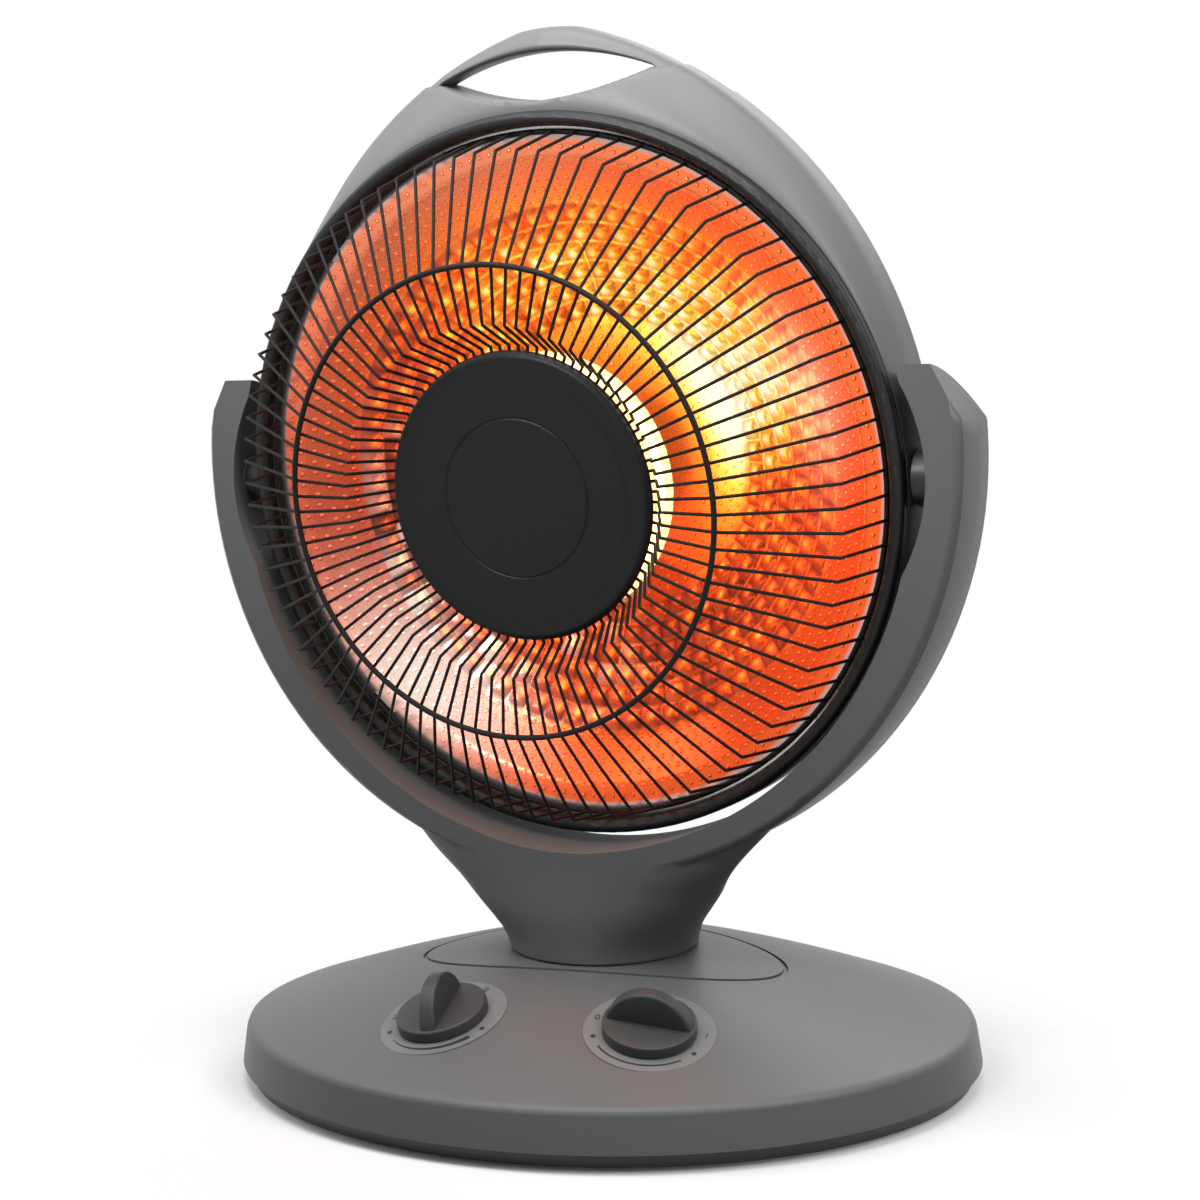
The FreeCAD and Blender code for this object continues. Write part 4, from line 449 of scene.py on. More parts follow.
class HEATER_OT_dish(bpy.types.Operator):
    """Pressed dish behind the guard"""

    bl_idname = "heater.dish"
    bl_label = "Dish"

    def execute(self, context):
        sizes = settings("dish_sizes")
        material = aluminium_with_painted_lamplight()
        stop = sizes.dimple_start + sizes.dimple_row * sizes.dimple_rows
        front = np.concatenate([
            np.linspace(DISH_CAP, DISH_FLOOR, 5), np.linspace(DISH_FLOOR, sizes.dimple_start, PLAIN_RINGS)[1:],
            np.linspace(sizes.dimple_start, stop, DIMPLE_RINGS * sizes.dimple_rows + 1)[1:],
            np.linspace(stop, DISH_MOUTH, PLAIN_RINGS)[1:], np.linspace(DISH_MOUTH, DISH_FLANGE, PLAIN_RINGS)[1:]])
        back = front[::-BACK_STEP]
        angle = np.linspace(0, 2 * math.pi, STEPS_AROUND, endpoint=False)
        radius, turn = np.meshgrid(np.concatenate([front, back]), angle, indexing="ij")
        depth = dish_depth(radius)
        pillow, glint, own = dimples(radius, turn, sizes)
        fore = np.arange(len(radius))[:, None] < len(front)
        depth = np.where(fore, depth - sizes.dimple_height * pillow, depth + DISH_SHEET)
        points = np.stack([radius * np.cos(turn), depth, radius * np.sin(turn)], axis=-1)
        obj = piece("reflector_dish", in_head(points), capped_faces(*radius.shape), material, "head", "dish_aluminium")
        # Painted highlight on each dimple where it faces the lamp, painted shade on the lines between the dimples, and
        # the back keeps the bare dish colour with no painted glow
        shade = np.where(pillow > 0, 0.3 + 0.35 * pillow + 0.9 * glint, PLAIN_PAINTED_SHADE)
        rgb, strength = painted_lamplight(radius.ravel(), turn.ravel(), shade.ravel(), own.ravel())
        lit = np.broadcast_to(fore, radius.shape).ravel()
        bare = np.array(settings("heater_colours").dish)
        colour_attribute(obj, np.where(lit[:, None], rgb, bare), np.where(lit, strength, 0))
        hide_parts("reflector")
        self.studs(sizes, material, stop)
        return {"FINISHED"}

    def studs(self, sizes, material, stop):
        """Small studs in rings near the mouth and round the hub: low domes of two eight-sided rings, the lower one sunk
        into the sheet, and a crown."""
        rings = np.concatenate([np.arange(stop + sizes.stud_row / 2, RIM_START - sizes.stud_radius, sizes.stud_row),
                                np.arange(sizes.dimple_start - sizes.stud_row, sizes.stud_stop, -sizes.stud_row)])
        counts = np.round(2 * math.pi * rings / sizes.stud_pitch).astype(int)
        radius = np.repeat(rings, counts)
        turn = np.concatenate([2 * math.pi * (np.arange(count) + 0.5 * (row % 2)) / count
                               for row, count in enumerate(counts)])
        corners = 8
        shoulder = 0.62
        spin = 2 * math.pi * np.arange(corners) / corners
        across = np.concatenate([np.cos(spin), shoulder * np.cos(spin), [0]])
        upward = np.concatenate([np.sin(spin), shoulder * np.sin(spin), [0]])
        lift = np.concatenate([np.full(corners, -0.2), np.full(corners, 0.7), [1]])
        out = radius[:, None] + sizes.stud_radius * across
        side = sizes.stud_radius * upward[None, :] + 0 * out
        depth = dish_depth(out) - sizes.stud_height * lift
        cosine, sine = np.cos(turn)[:, None], np.sin(turn)[:, None]
        points = np.stack([out * cosine - side * sine, depth, out * sine + side * cosine], axis=-1)
        ring = np.arange(corners)
        after = (ring + 1) % corners
        wall = np.stack([ring, after, after + corners, ring + corners], axis=-1)
        top = np.stack([ring + corners, after + corners, np.full(corners, 2 * corners)], axis=-1)
        starts = np.arange(len(radius))[:, None, None] * (2 * corners + 1)
        faces = (wall[None] + starts).reshape(-1, 4).tolist() + (top[None] + starts).reshape(-1, 3).tolist()
        faces += (ring[::-1] + starts[:, 0]).tolist()
        obj = piece("reflector_studs", in_head(points), faces, material, "head", "dish_aluminium")
        # Painted shade at the foot of each stud and a painted highlight on its crown, carried into the painted
        # lamplight
        shade = np.tile(np.concatenate([np.full(corners, 0.3), np.full(corners, 0.7), [1.3]]), len(radius))
        x, z = points[..., 0].ravel(), points[..., 2].ravel()
        colour_attribute(obj, *painted_lamplight(np.hypot(x, z), np.arctan2(z, x), shade))


# Turns of the lamp's coil, from its spacing on the lamp's ring
LAMP_RADIUS = 57 * MM
COIL_PITCH = 3.6 * MM
COIL_TURNS = round(2 * math.pi * LAMP_RADIUS / COIL_PITCH)


def head_place(tree):
    """Object coordinates turned into the head's own frame."""
    place = add(tree, "TexCoord").outputs["Object"]
    return add(tree, "Mapping", {"Vector": place, "Location": HEAD_ORIGIN.tolist(), "Rotation": (HEAD_TILT, 0, 0)},
               vector_type="TEXTURE").outputs[0]


class HEATER_OT_lamp(bpy.types.Operator):
    """Ring lamp with its coil, and the fittings behind the dish"""

    bl_idname = "heater.lamp"
    bl_label = "Lamp"

    def execute(self, context):
        colours = settings("heater_colours")
        # Fused quartz, clear and smooth, filled with light: the coil shows through it as bright turns
        quartz, tree = new_material("quartz_tube_lit")
        place = add(tree, "SeparateXYZ", {"Vector": head_place(tree)})
        turn = add(tree, "Math", {0: place.outputs["Z"], 1: place.outputs["X"]}, operation="ARCTAN2")
        turns = add(tree, "Math", {0: turn.outputs[0], 1: COIL_TURNS}, operation="MULTIPLY")
        wave = add(tree, "Math", {0: turns.outputs[0]}, operation="SINE")
        power = add(tree, "MapRange", {"Value": wave.outputs[0], "From Min": -1.0, "From Max": 1.0, "To Min": 0.3,
                                       "To Max": 0.8})
        shader = add(tree, "BsdfPrincipled", {"Base Color": opaque(colours.lamp), "Roughness": 0.12, "IOR": 1.46,
                                              "Transmission Weight": 0.95, "Emission Color": opaque(colours.lamp),
                                              "Emission Strength": power.outputs[0]})
        close(tree, shader)
        dress(quartz, "lamp_tube")
        # Tungsten wire at white heat: it only glows, a little unevenly along its 2 mm turns
        coil, tree = new_material("tungsten_coil_glowing")
        place = add(tree, "TexCoord").outputs["Object"]
        grain = add(tree, "TexNoise", {"Vector": place, "Scale": 1 / (2 * MM)})
        power = add(tree, "MapRange", {"Value": grain.outputs["Fac"], "To Min": 6.0, "To Max": 10.0})
        close(tree, add(tree, "Emission", {"Color": opaque(colours.coil), "Strength": power.outputs[0]}))
        dress(coil, "lamp_filament")
        # Pressed and fired steatite: cream, dry to the eye, with a fine grain
        dress(moulded("steatite_ceramic", colours.ceramic, 0.6, 0.8, 0.08), "lamp_holders")
        # Galvanised sheet: pale metal with a soft, cloudy shine
        dress(plated("galvanised_sheet", colours.steel, 0.34, 1.2), "lamp_bracket")
        # Pressed phenolic: brown-black with a dull gloss
        dress(moulded("phenolic_switch_housing", colours.switch, 0.45, 0.7, 0.05), "thermal_cutout", "heat_switch",
              "oscillation_switch", "tilt_switch")
        return {"FINISHED"}


class HEATER_OT_guard(bpy.types.Operator):
    """Guard wires, rings, clips, lip and hub"""

    bl_idname = "heater.guard"
    bl_label = "Guard and hub"

    def execute(self, context):
        colours = settings("heater_colours")
        # Powder coat on wire: a matt black with a fine pebble, which scatters most of its shine, so its index is low
        coat = moulded("black_powder_coat", colours.guard, 0.62, 0.6, 0.05, ior=1.3)
        dress(coat, "guard_wires", "guard_outer_ring", "guard_mid_ring", "hub_plate")
        # Bright spring steel: a clear metallic glint
        dress(plated("bright_spring_steel", colours.steel, 0.2, 0.9), "guard_clips")
        # Moulded black ABS with a satin skin: a soft edge of light along the lip
        dress(moulded("satin_black_lip_abs", colours.lip, 0.45, 1.6, 0.02, ior=1.36), "guard_lip")
        # Moulded black ABS with a fine grain: nearly black to the eye, with a broad, faint sheen
        satin = moulded("satin_black_abs", colours.hub, 0.4, 0.8, 0.008, ior=1.3)
        moulding("hub_cover", "hub_cap", "head", satin, settings("moulding_sizes").hub_edge)
        return {"FINISHED"}


# The head's outline: arcs of its face and of its back edge, the bezel, the finger opening and the handle
FACE_RADIUS = 171 * MM
FACE_SHIFT = 12 * MM
BACK_RADIUS = 172 * MM
BACK_SHIFT = 41.5 * MM
FACE_SLOPE = 18 * MM
BEZEL_DEPTH = 32 * MM
BEZEL_WALL = 2.5 * MM
BEZEL_MOUTH = 163 * MM
LIP_OUTER = 170 * MM
GRIP_CENTRE = 185 * MM
GRIP_HALF_WIDTH = 55 * MM
GRIP_HALF_HEIGHT = 10.65 * MM
GRIP_FLOOR = 169 * MM
HANDLE_TOP = 207 * MM
HANDLE_CURVE = 106 * MM
HANDLE_FOOT = 187 * MM
HANDLE_REACH = 72 * MM
# How far the handle's hidden ends draw in, for each length past the finger opening
END_TAPER = 0.01
HANDLE_STEPS = 121
SECTION_STEPS = 64
SWELL_STEPS = 15


def arch_radius(angle, radius, shift):
    """Outline of the head from its middle: a circle below, and above two arcs whose centres pass the middle."""
    side = shift * np.abs(np.cos(angle))
    arch = np.sqrt((radius + shift) ** 2 - (shift * np.sin(angle)) ** 2) - side
    return np.where(np.sin(angle) > 0, arch, radius)


def grip_edge(x, side):
    """Height of the finger opening's lower (-1) or upper (1) edge: an arc through its two corners."""
    curve = (GRIP_HALF_WIDTH ** 2 / GRIP_HALF_HEIGHT + GRIP_HALF_HEIGHT) / 2
    inside = np.minimum(np.abs(x), GRIP_HALF_WIDTH)
    return GRIP_CENTRE + side * (np.sqrt(curve ** 2 - inside ** 2) - (curve - GRIP_HALF_HEIGHT))


def bezel_surface():
    """Front bezel: a closed wall carried round the head's outline. From the lip it swells in one curve to the outer
    edge, runs straight back, and returns inside by the wall's thickness. The finger opening limits its height, and it
    is solid just below that."""
    angle = np.linspace(0, 2 * math.pi, STEPS_AROUND, endpoint=False)
    face = arch_radius(angle, FACE_RADIUS, FACE_SHIFT)
    edge = arch_radius(angle, BACK_RADIUS, BACK_SHIFT)
    step = np.linspace(0, 1, SWELL_STEPS)[:, None]
    swell = (1 - step) ** 2 * LIP_OUTER + 2 * step * (1 - step) * face + step ** 2 * edge
    mouth = np.full((1, STEPS_AROUND), BEZEL_MOUTH)
    straight = np.repeat([[(FACE_SLOPE + BEZEL_DEPTH) / 2], [BEZEL_DEPTH]], STEPS_AROUND, axis=1)
    radius = np.concatenate([mouth, swell, edge[None], edge[None]])
    depth = np.concatenate([0 * mouth, step ** 2 * FACE_SLOPE + 0 * swell, straight])
    inner_radius = np.concatenate([mouth, radius[1:] - BEZEL_WALL])
    inner_depth = np.minimum(depth + BEZEL_WALL, BEZEL_DEPTH)
    radius = np.concatenate([radius, inner_radius[::-1]])
    depth = np.concatenate([depth, inner_depth[::-1]])
    x = radius * np.cos(angle)
    z = radius * np.sin(angle)
    outside = np.arange(len(radius))[:, None] < len(radius) // 2
    limit = np.where(np.abs(x) < GRIP_HALF_WIDTH, grip_edge(x, -1), GRIP_CENTRE)
    z = np.minimum(z, np.where(outside, limit, GRIP_FLOOR))
    return np.stack([x, depth, z], axis=-1), grid_faces(*radius.shape, ring=True)


def face_depth(x, z):
    """Depth of the bezel's front surface at a place: the swelling curve's step is the root of its quadratic, and the
    depth goes with the step's square."""
    angle = np.arctan2(z, x)
    face = arch_radius(angle, FACE_RADIUS, FACE_SHIFT) - LIP_OUTER
    bend = arch_radius(angle, BACK_RADIUS, BACK_SHIFT) - LIP_OUTER - 2 * face
    step = (np.sqrt(face ** 2 + bend * (np.hypot(x, z) - LIP_OUTER)) - face) / bend
    return np.clip(step, 0, 1) ** 2 * FACE_SLOPE


def handle_surface():
    """Carrying handle: the bezel's front surface carried on above the finger opening, up to the top curve, as a bar
    with a rounded section, |u|^3 + |v|^3 = 1. Past the opening its ends run down inside the shoulders."""
    x = np.linspace(-HANDLE_REACH, HANDLE_REACH, HANDLE_STEPS)[:, None]
    past = np.maximum(np.abs(x) - GRIP_HALF_WIDTH, 0)
    low = grip_edge(x, 1) - past
    curve = HANDLE_TOP - HANDLE_CURVE + np.sqrt(HANDLE_CURVE ** 2 - x ** 2)
    arch = np.sqrt((BACK_RADIUS + BACK_SHIFT) ** 2 - (np.abs(x) + BACK_SHIFT) ** 2)
    top = np.where(curve > HANDLE_FOOT, np.minimum(curve, arch), arch) - END_TAPER * past
    turn = np.linspace(0, 2 * math.pi, SECTION_STEPS, endpoint=False)
    wide = np.sign(np.cos(turn)) * np.abs(np.cos(turn)) ** (2 / 3)
    tall = np.sign(np.sin(turn)) * np.abs(np.sin(turn)) ** (2 / 3)
    height = (low + top) / 2 + (top - low) / 2 * tall
    front = face_depth(x, height) + END_TAPER * past
    depth = (front + BEZEL_DEPTH) / 2 + (BEZEL_DEPTH - front) / 2 * wide
    return np.stack([x + 0 * depth, depth, height], axis=-1), capped_faces(HANDLE_STEPS, SECTION_STEPS)


class HEATER_OT_shells(bpy.types.Operator):
    """Grey moulded shells of base, yoke and head"""

    bl_idname = "heater.shells"
    bl_label = "Shells"

    def execute(self, context):
        colours = settings("heater_colours")
        sizes = settings("moulding_sizes")
        # Moulded grey ABS with a satin skin: broad soft highlights and an even tone, its shine held down by the grain
        grey = moulded("satin_grey_abs", colours.shell, 0.46, 0.9, 0.02, ior=1.42, mottle=0.03)
        for name, node, body, edge in (("base_shell", "base_cover", "base", sizes.base_edge),
                                       ("yoke_shell_front", "yoke_front_shell", "yoke", sizes.shell_edge),
                                       ("yoke_shell_rear", "yoke_rear_shell", "yoke", sizes.shell_edge),
                                       ("head_shell_rear", "rear_cover", "head", sizes.shell_edge)):
            moulding(name, node, body, grey, edge)
        for name, surface, node in (("head_shell_front", bezel_surface, "front_bezel"),
                                    ("head_handle", handle_surface, "carrying_handle")):
            points, faces = surface()
            obj = piece(name, in_head(points), faces, grey, "head", "grey_shell")
            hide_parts(node)
        # Moulded black ABS without a texture: a plain dark sheen
        black = moulded("black_abs", colours.plate, 0.42, 0.8, 0.05)
        dress(black, "base_plate", "cord_gland", "trunnion_bushes")
        return {"FINISHED"}


# Points round a printed dot and a knob's disc, along a knob's half-moon and across its roundings
DOT_CORNERS = 24
DISC_CORNERS = 96
MOON_CORNERS = 49
DISC_BEND = 6
FIN_BEND = 7
# Rounding of a knob's fin against that of its disc
FIN_SOFTNESS = 1.4
# Marks on the dials, in degrees round each: the arc, its steps, the dots and the numbers
ARC = (222, 318)
ARC_STEPS = 33
DOTS = (205, 335)
NUMBERS = {"heat": (("0", 58), ("1", 122), ("2", 176)), "oscillation": (("0", 172), ("1", 8))}
# Width of each arc at its start and end
ARC_WIDTHS = {"heat": (0.3 * MM, 2.6 * MM), "oscillation": (1 * MM, 1 * MM)}


def axis_frame(name, node, pick, along):
    """Frame of a control: the place on its axis that is level with a node's highest or lowest point, a direction laid
    flat, the direction across it, and the axis."""
    joint = JOINTS[f"{name}_turn"]
    axis = np.array(joint["axis"])
    vertices = NODES[node].data.vertices
    points = np.empty(len(vertices) * 3)
    vertices.foreach_get("co", points)
    level = pick(points.reshape(-1, 3) @ axis)
    place = np.array(joint["pos_m"])
    along = along - axis * (along @ axis)
    along /= np.linalg.norm(along)
    return place + axis * (level - place @ axis), along, np.cross(axis, along), axis


def print_band(frame, radius, inner, outer, angles, thick):
    """Printed band along an arc: inner and outer edges at each angle, as a closed slab on the dial."""
    middle, right, away, axis = frame
    turn = np.radians(angles)
    edge = np.stack([radius + inner, radius + outer, radius + outer, radius + inner], axis=-1)
    level = np.array((0, 0, thick, thick))
    ray = np.cos(turn)[:, None] * right + np.sin(turn)[:, None] * away
    points = middle + edge[..., None] * ray[:, None, :] + level[None, :, None] * axis
    return points.reshape(-1, 3), capped_faces(len(turn), 4)


def print_dot(frame, radius, angle, size, thick):
    """Printed dot: a round slab on the dial."""
    middle, right, away, axis = frame
    turn = math.radians(angle)
    spot = middle + radius * (math.cos(turn) * right + math.sin(turn) * away)
    spin = np.linspace(0, 2 * math.pi, DOT_CORNERS, endpoint=False)
    ring = spot + size * (np.cos(spin)[:, None] * right + np.sin(spin)[:, None] * away)
    return np.concatenate([ring, ring + thick * axis]), capped_faces(2, DOT_CORNERS)


def print_number(frame, radius, angle, text, height, thick):
    """Printed number: its outline filled, thickened and laid on the dial, upright to the front."""
    curve = bpy.data.curves.new("number", "FONT")
    curve.body = text
    curve.size = height
    curve.align_x = "CENTER"
    curve.align_y = "CENTER"
    curve.extrude = thick / 2
    holder = bpy.data.objects.new("number", curve)
    bpy.context.scene.collection.objects.link(holder)
    mesh = bpy.data.meshes.new_from_object(holder)
    bpy.data.objects.remove(holder)
    flat = np.empty(len(mesh.vertices) * 3)
    mesh.vertices.foreach_get("co", flat)
    flat = flat.reshape(-1, 3)
    middle, right, away, axis = frame
    turn = math.radians(angle)
    spot = middle + radius * (math.cos(turn) * right + math.sin(turn) * away) + axis * thick / 2
    points = spot + flat[:, :1] * right + flat[:, 1:2] * away + flat[:, 2:] * axis
    return points, [list(face.vertices) for face in mesh.polygons]


def joined(parts):
    """Several shapes as one list of points and one of faces."""
    points, faces, start = [], [], 0
    for shape, rings in parts:
        points.append(shape)
        faces += [[corner + start for corner in face] for face in rings]
        start += len(shape)
    return np.concatenate(points), faces


def knob_surface(name, along):
    """Knob: a round disc, its profile running up the side and over a rounded top edge, and across it a half-moon fin.
    The fin is a stack of half-moons, each a closed line with a flat foot at the disc's underside: smaller towards both
    flat sides, so its edge is rounded. It lies along the given direction of the dial."""
    sizes = settings("moulding_sizes")
    middle, along, side, axis = axis_frame(name, f"{name}_knob", np.min, along)
    bend = np.linspace(0, math.pi / 2, DISC_BEND)
    edge = sizes.knob_edge
    out = np.concatenate([[sizes.knob_radius], sizes.knob_radius - edge + edge * np.cos(bend)])[:, None, None]
    up = np.concatenate([[0], sizes.knob_disc - edge + edge * np.sin(bend)])[:, None, None]
    turn = np.linspace(0, 2 * math.pi, DISC_CORNERS, endpoint=False)[:, None]
    disc = middle + out * (np.cos(turn) * along + np.sin(turn) * side) + up * axis
    bend = np.linspace(0, math.pi / 2, FIN_BEND)
    edge = sizes.knob_edge * FIN_SOFTNESS
    rim = sizes.fin_radius - edge + edge * np.sin(bend)
    flank = sizes.fin_half - edge + edge * np.cos(bend)
    reach = np.concatenate([rim, rim[::-1]])[:, None, None]
    thick = np.concatenate([flank, -flank[::-1]])[:, None, None]
    sweep = np.linspace(0, math.pi, MOON_CORNERS)[:, None]
    squash = sizes.fin_height / sizes.fin_radius
    fin = middle + reach * (np.cos(sweep) * along + squash * np.sin(sweep) * axis) + thick * side
    return joined([(shape.reshape(-1, 3), capped_faces(*shape.shape[:2])) for shape in (disc, fin)])


class HEATER_OT_controls(bpy.types.Operator):
    """Knobs, dial plates and their printed marks"""

    bl_idname = "heater.controls"
    bl_label = "Controls"

    def execute(self, context):
        colours = settings("heater_colours")
        sizes = settings("print_sizes")
        # Moulded charcoal ABS with a fine grain: darker than the shells, with a dull sheen on the fin
        charcoal = moulded("charcoal_abs", colours.knob, 0.48, 0.8, 0.006, ior=1.4)
        for name, along in (("heat", BASE_FRONT), ("oscillation", BASE_RIGHT)):
            obj = piece(f"{name}_knob_moulding", *knob_surface(name, along), charcoal, f"{name}_control",
                        "knob_plastic")
            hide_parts(f"{name}_knob")
        # Moulded pale grey ABS with a matt grain: a shade lighter than the base round it
        dress(moulded("grey_dial_plate", colours.dial, 0.46, 0.5, 0.03), "heat_dial", "oscillation_dial")
        # Pad-printed ink: flat black, drier than the plastic
        ink = moulded("printed_ink", colours.ink, 0.55, 0.4, 0.01)
        for name, numbers in NUMBERS.items():
            frame = axis_frame(name, f"{name}_dial", np.max, BASE_RIGHT)
            half = np.linspace(*ARC_WIDTHS[name], ARC_STEPS) / 2
            parts = [print_band(frame, sizes.ring, -half, half, np.linspace(*ARC, ARC_STEPS), sizes.thick)]
            parts += [print_dot(frame, sizes.ring, angle, sizes.dot, sizes.thick) for angle in DOTS]
            parts += [print_number(frame, sizes.ring, angle, text, sizes.number, sizes.thick)
                      for text, angle in numbers]
            piece(f"{name}_dial_print", *joined(parts), ink, "base", "dial_print", smooth=False)
        return {"FINISHED"}


class HEATER_OT_fittings(bpy.types.Operator):
    """Feet, fasteners, swivel and drive"""

    bl_idname = "heater.fittings"
    bl_label = "Fittings"

    def execute(self, context):
        colours = settings("heater_colours")
        # Moulded rubber: black and matt
        dress(moulded("foot_rubber", colours.rubber, 0.8, 1.1, 0.12), "rubber_feet")
        # Zinc-plated steel: pale metal with fine scratches
        steel = plated("zinc_plated_steel", colours.steel, 0.3, 0.8)
        dress(steel, "base_screws", "motor_screws", "gear_screws", "yoke_screws", "pivot_bolts", "bezel_screws",
              "hub_screw", "pinion_shaft", "oscillation_motor")
        # Moulded nylon without dye: milky cream with a waxy gloss
        dress(moulded("natural_nylon", colours.nylon, 0.42, 0.7, 0.04), "swivel_gear", "motor_pinion", "heat_shaft",
              "oscillation_shaft", "terminal_block")
        # Moulded acetal: smooth black with a slippery gloss
        dress(moulded("black_acetal", colours.acetal, 0.38, 0.7, 0.03), "swivel_bush", "swivel_spigot",
              "thrust_washer", "friction_washers")
        # Cast iron: dark, rough metal
        dress(plated("bare_cast_iron", colours.iron, 0.6, 1.8), "ballast_plate")
        return {"FINISHED"}


def area_light(name, place, target, width, depth, power, spread=180):
    """Rectangular light at a place, turned towards a target."""
    lamp = bpy.data.lights.new(name, "AREA")
    lamp.shape = "RECTANGLE"
    lamp.size = width
    lamp.size_y = depth
    lamp.energy = power
    lamp.spread = math.radians(spread)
    obj = bpy.data.objects.new(name, lamp)
    obj.location = place
    obj.rotation_euler = (Vector(target) - Vector(place)).to_track_quat("-Z", "Y").to_euler()
    bpy.context.scene.collection.objects.link(obj)


# The photograph's view: the camera's place round the heater, its height and its small turns
VIEW_AZIMUTH = math.radians(27.66)
VIEW_DISTANCE = 1.1
VIEW_HEIGHT = 0.3448
VIEW_PITCH = math.radians(5.95)
VIEW_PAN = math.radians(0.11)
VIEW_ROLL = math.radians(1.52)
VIEW_LENS = 68.85
VIEW_SENSOR = 36
# The floor: its edge, the distances between which it fades out, its rings and the points on each
FLOOR_RADIUS = 2.4
FLOOR_FADE = (0.13, 0.28)
FLOOR_RINGS = 24
FLOOR_CORNERS = 96
# Grey with which the floor lights the heater's underside
FLOOR_BOUNCE = (0.1, 0.1, 0.1, 1)


def shown_directly(tree):
    """1 for rays of the camera, and for those that reach here through a sharp reflection or glass; else 0."""
    path = add(tree, "LightPath")
    sharp = add(tree, "Math", {0: path.outputs["Is Camera Ray"], 1: path.outputs["Is Glossy Ray"]},
                operation="MAXIMUM")
    return add(tree, "Math", {0: sharp.outputs[0], 1: path.outputs["Is Transmission Ray"]},
               operation="MAXIMUM").outputs[0]


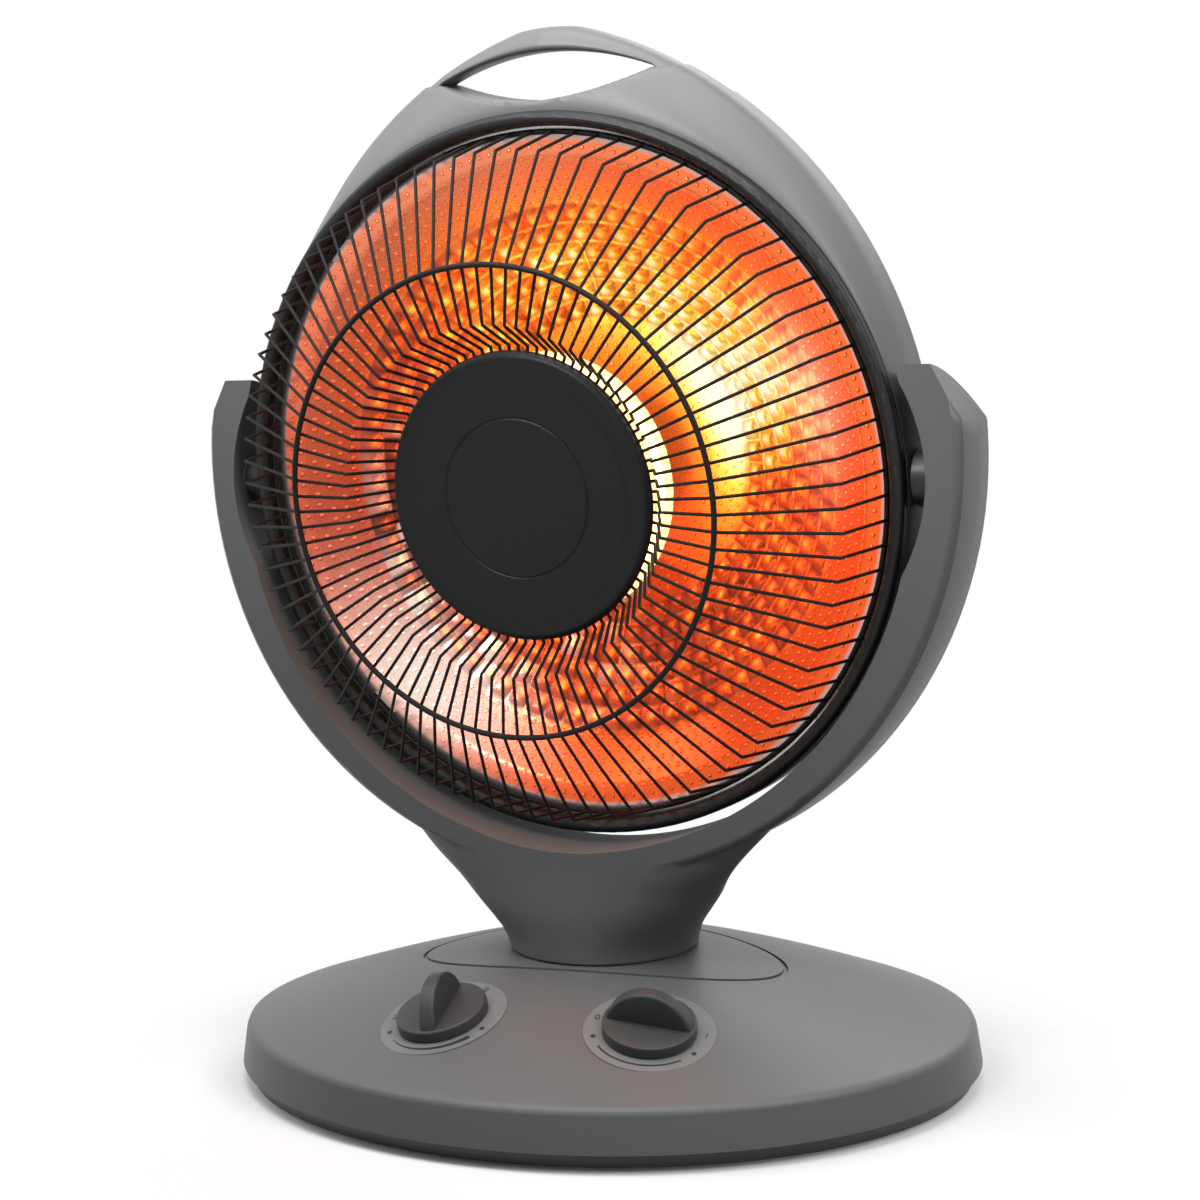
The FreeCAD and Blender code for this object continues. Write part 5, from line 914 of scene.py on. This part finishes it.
class HEATER_OT_stage(bpy.types.Operator):
    """Camera, floor, lights and surroundings"""

    bl_idname = "heater.stage"
    bl_label = "Stage"

    def execute(self, context):
        scene = context.scene
        scene.view_settings.view_transform = "Standard"
        self.camera(scene)
        self.floor()
        self.lights()
        self.surroundings(scene)
        return {"FINISHED"}

    def camera(self, scene):
        """Camera axes from the level view direction, pitched down, then rolled."""
        turn = Matrix.Rotation(VIEW_AZIMUTH, 3, "Z")
        level = turn @ Vector((math.sin(VIEW_PAN), math.cos(VIEW_PAN), 0))
        right = turn @ Vector((math.cos(VIEW_PAN), -math.sin(VIEW_PAN), 0))
        forward = level * math.cos(VIEW_PITCH) - Vector((0, 0, math.sin(VIEW_PITCH)))
        up = level * math.sin(VIEW_PITCH) + Vector((0, 0, math.cos(VIEW_PITCH)))
        rolled_right = right * math.cos(VIEW_ROLL) - up * math.sin(VIEW_ROLL)
        rolled_up = right * math.sin(VIEW_ROLL) + up * math.cos(VIEW_ROLL)
        lens = bpy.data.cameras.new("camera")
        lens.lens = VIEW_LENS
        lens.sensor_width = VIEW_SENSOR
        camera = bpy.data.objects.new("camera", lens)
        axes = Matrix((rolled_right, rolled_up, -forward)).transposed().to_4x4()
        place = turn @ Vector((0, -VIEW_DISTANCE, VIEW_HEIGHT))
        camera.matrix_world = Matrix.Translation(place) @ axes
        scene.collection.objects.link(camera)
        scene.camera = camera

    def floor(self):
        """Round floor that fades into the white surroundings: rings of points out to its edge."""
        radius = np.linspace(MM, FLOOR_RADIUS, FLOOR_RINGS)[:, None]
        turn = np.linspace(0, 2 * math.pi, FLOOR_CORNERS, endpoint=False)
        points = np.stack([radius * np.cos(turn), radius * np.sin(turn), 0 * radius * turn], axis=-1)
        mesh = bpy.data.meshes.new("floor")
        faces = grid_faces(FLOOR_RINGS, FLOOR_CORNERS) + [list(range(FLOOR_CORNERS - 1, -1, -1))]
        mesh.from_pydata(points.reshape(-1, 3).tolist(), [], faces)
        floor = bpy.data.objects.new("floor", mesh)
        bpy.context.scene.collection.objects.link(floor)
        # Seamless paper: matt and pale, so that only the heater's soft shadow shows on it
        made, tree = new_material("pale_studio_floor")
        place = add(tree, "TexCoord").outputs["Object"]
        away = add(tree, "VectorMath", {0: place}, operation="LENGTH")
        fade = add(tree, "MapRange", {"Value": away.outputs["Value"], "From Min": FLOOR_FADE[0],
                                      "From Max": FLOOR_FADE[1]}, interpolation_type="SMOOTHSTEP")
        pale = add(tree, "Mix", {0: shown_directly(tree), 6: FLOOR_BOUNCE,
                                 7: opaque(settings("heater_colours").floor)}, data_type="RGBA")
        shader = add(tree, "BsdfPrincipled", {"Base Color": pale.outputs[2], "Roughness": 0.9})
        clear = add(tree, "BsdfTransparent")
        close(tree, add(tree, "MixShader", {0: fade.outputs[0], 1: shader.outputs[0], 2: clear.outputs[0]}))
        mesh.materials.append(made)

    def lights(self):
        """A broad light from above, a small one on the head's front, one high on each side and one behind."""
        stage = settings("stage_settings")
        area_light("overhead", (0, -0.3, 1.5), (0, -0.1, 0.05), 1.0, 0.7, stage.key)
        area_light("head_front", (-0.22, -0.75, 0.95), (0, 0, 0.47), 0.4, 0.3, stage.front, spread=44)
        area_light("left_strip", (-0.95, -0.35, 1.25), (0, 0, 0.15), 0.5, 0.8, 2.2 * stage.rim)
        area_light("right_strip", (1.05, -0.3, 1.15), (0, 0, 0.2), 0.5, 0.8, 5 * stage.rim)
        area_light("behind", (0.1, 1.3, 1.2), (0, 0, 0.3), 1.2, 0.8, 4 * stage.rim)

    def surroundings(self, scene):
        """White to the camera and in reflections, and a soft grey light on everything else."""
        world = bpy.data.worlds.new("studio")
        world.use_nodes = True
        tree = world.node_tree
        tree.nodes.clear()
        power = add(tree, "MapRange", {"Value": shown_directly(tree), "To Min": settings("stage_settings").sky,
                                       "To Max": 1.0})
        sky = add(tree, "Background", {"Color": (1, 1, 1, 1), "Strength": power.outputs[0]})
        add(tree, "OutputWorld", {"Surface": sky.outputs[0]})
        scene.world = world


class HEATER_PT_panel(bpy.types.Panel):
    """Settings and pieces of the heater"""

    bl_idname = "HEATER_PT_panel"
    bl_label = "Dish heater"
    bl_space_type = "VIEW_3D"
    bl_region_type = "UI"
    bl_category = "Heater"

    def draw(self, context):
        for name, group in GROUPS.items():
            box = self.layout.box()
            for key in group.__annotations__:
                box.prop(getattr(context.scene, name), key)
        for operator in OPERATORS:
            self.layout.operator(operator.bl_idname)


GROUPS = {"heater_colours": HeaterColours, "dish_sizes": DishSizes, "moulding_sizes": MouldingSizes,
          "print_sizes": PrintSizes, "stage_settings": StageSettings}
OPERATORS = (HEATER_OT_shells, HEATER_OT_dish, HEATER_OT_lamp, HEATER_OT_guard, HEATER_OT_controls,
             HEATER_OT_fittings, HEATER_OT_stage)
CLASSES = (*GROUPS.values(), *OPERATORS, HEATER_PT_panel)


def register():
    """Register the classes, and give the scene its groups of settings."""
    for made in CLASSES:
        bpy.utils.register_class(made)
    for name, made in GROUPS.items():
        setattr(bpy.types.Scene, name, PointerProperty(type=made))


def unregister():
    """Undo what register did."""
    for name in GROUPS:
        delattr(bpy.types.Scene, name)
    for made in reversed(CLASSES):
        bpy.utils.unregister_class(made)


def main():
    """Dress the heater and set its stage."""
    register()
    for step in ("shells", "dish", "lamp", "guard", "controls", "fittings", "stage"):
        getattr(bpy.ops.heater, step)()


if __name__ == "__main__":
    main()
